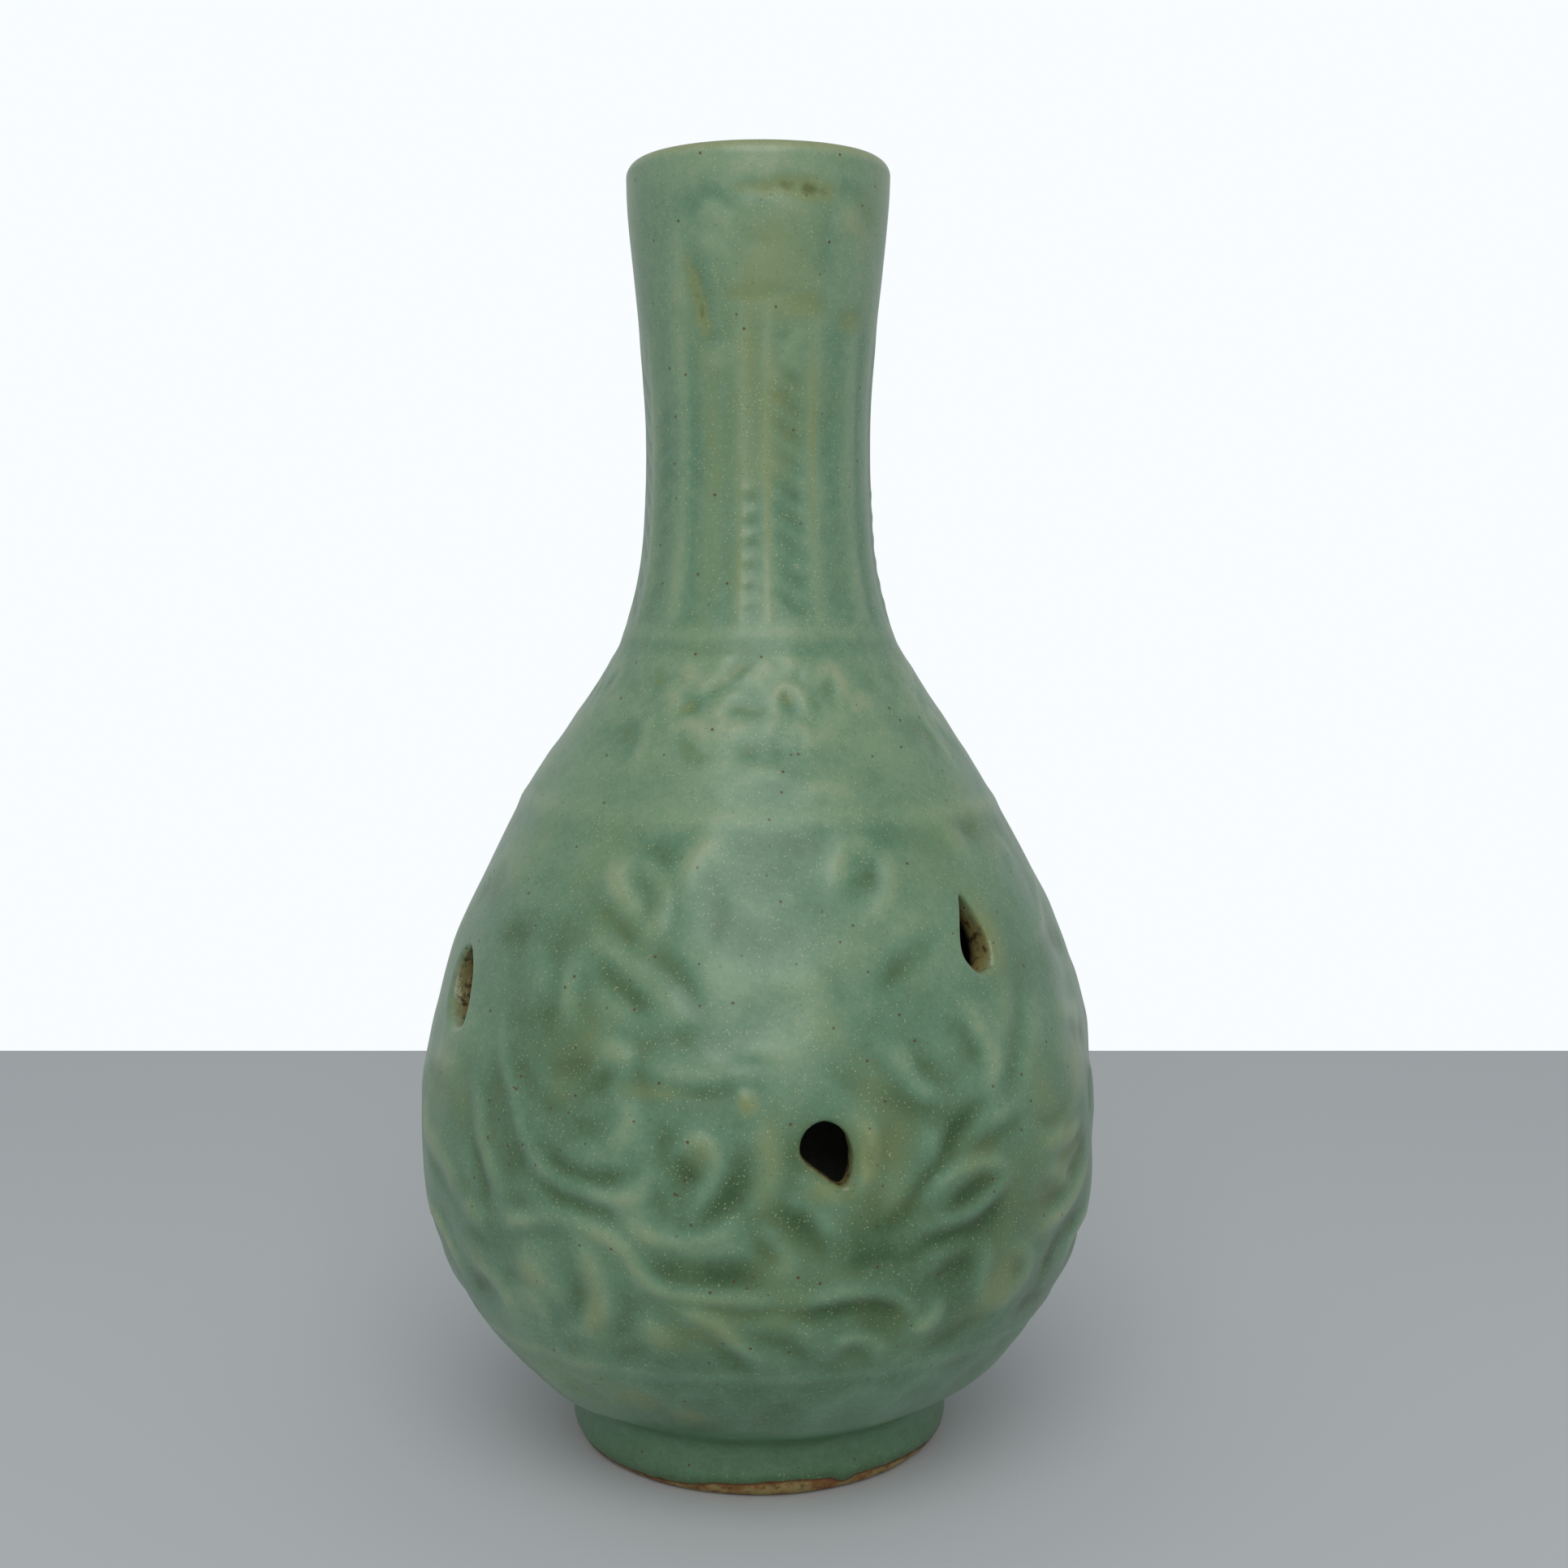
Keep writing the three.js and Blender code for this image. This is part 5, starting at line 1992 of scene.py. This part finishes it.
SECTIONS = (
    Section("lower_belly", FOOT_SEAM, WIDEST_SEAM, 116, 720, 7.0, narrow=36.6),
    Section(
        "upper_belly",
        WIDEST_SEAM,
        SHOULDER_SEAM,
        100,
        720,
        7.0,
        openings=PIERCED + tuple(opening.behind() for opening in PIERCED),
    ),
    Section("shoulder_band", SHOULDER_SEAM, NECK_SEAM, 72, 720, 5.4),
    Section("neck", NECK_SEAM, LIP_SEAM, 220, 360, 6.0, throat=20.5, throat_top=225.0),
)
TINTS = (
    (-37, 57, 6, 5, 0.45), (-26, 56, 3, 10, 0.45), (-15, 48, 5, 5, 0.4), (-23, 31, 6, 5, 0.5),
    (-13, 25, 5, 4, 0.5), (-1, 99.5, 2, 3, 0.9), (2, 88, 3, 9, 0.7), (16.9, 87, 1.6, 6, 0.55),
    (11, 81.6, 5, 2.6, 0.5), (10.7, 90, 6, 8, 0.4), (46, 127, 4, 9, 0.8), (-8, 89, 3, 4, 0.5),
    (-14, 101, 6, 2, 0.5), (43, 54, 4, 5, 0.35), (5, 222, 2.5, 32, 0.75), (-8, 216, 3, 26, 0.55),
    (28, 226, 3, 34, 0.6), (-22, 228, 8, 36, 0.55), (9, 272, 22, 15, 0.56), (-2, 235, 26, 46, 0.42),
    (-32, 273.6, 3.4, 3.4, 0.75), (-30, 270.2, 4.2, 4, 0.88), (-28, 266.8, 4.2, 4, 0.88),
    (-26.2, 263.4, 4.2, 4, 0.92), (-24.6, 260.4, 3.6, 3, 0.8), (-2, 267, 15, 4, 0.68),
    (20, 265, 15, 4, 0.7), (48, 262, 9, 3, 0.6), (40, 205, 9, 8, 0.4), (-3, 252, 4.5, 30, 0.55),
    (9, 244.6, 4, 2.4, 0.7), (-5, 289.0, 7, 2.0, 0.7), (4, 288.9, 9, 2.4, 0.9),
    (13, 289.5, 10, 2.6, 1.0), (22, 289.1, 9, 2.8, 1.05), (29, 288.7, 6, 2.4, 0.9),
    (50, 285, 12, 6, 0.4),
)


def make_relief(outline: Outline) -> ReliefMap:
    """Presses every pattern into one map and stains it.

    Args:
        outline: the smooth outside.

    Returns:
        The finished map.
    """
    relief = ReliefMap(outline)
    belly = BellyPattern()
    belly.press(relief)
    belly.borders(relief)
    ShoulderPattern().press(relief)
    NeckPattern().press(relief)
    for tint in TINTS:
        relief.tint(*tint)
    relief.finish(sum((section.openings for section in SECTIONS), ()))
    return relief


def make_vase() -> None:
    """Makes all eight pieces, puts them on the body and gives them their slots."""
    outline = Outline()
    wall = Wall(outline, make_relief(outline))
    glaze = CeladonGlaze().material()
    clay = BareStoneware().material()
    pieces = [(section.name, section.mesh(wall), glaze, Slot.GLAZE) for section in SECTIONS]
    pieces.append(("foot_ring", FootRing().mesh(wall), glaze, Slot.GLAZE))
    pieces.append(("mouth_lip", MouthLip().mesh(wall), glaze, Slot.GLAZE))
    pieces.append(("base_disc", BaseDisc().mesh(), clay, Slot.CLAY))
    pieces.append(("inner_liner", InnerLiner().mesh(), clay, Slot.CLAY))
    for name, mesh, finish, slot in pieces:
        piece = mesh.build(f"{name}_finished", finish)
        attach(piece, BODY)
        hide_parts(name)


def main() -> None:
    """Builds the scene."""
    logging.basicConfig(level=logging.INFO, format="%(message)s")
    make_vase()
    Studio().build()


if __name__ == "__main__":
    main()
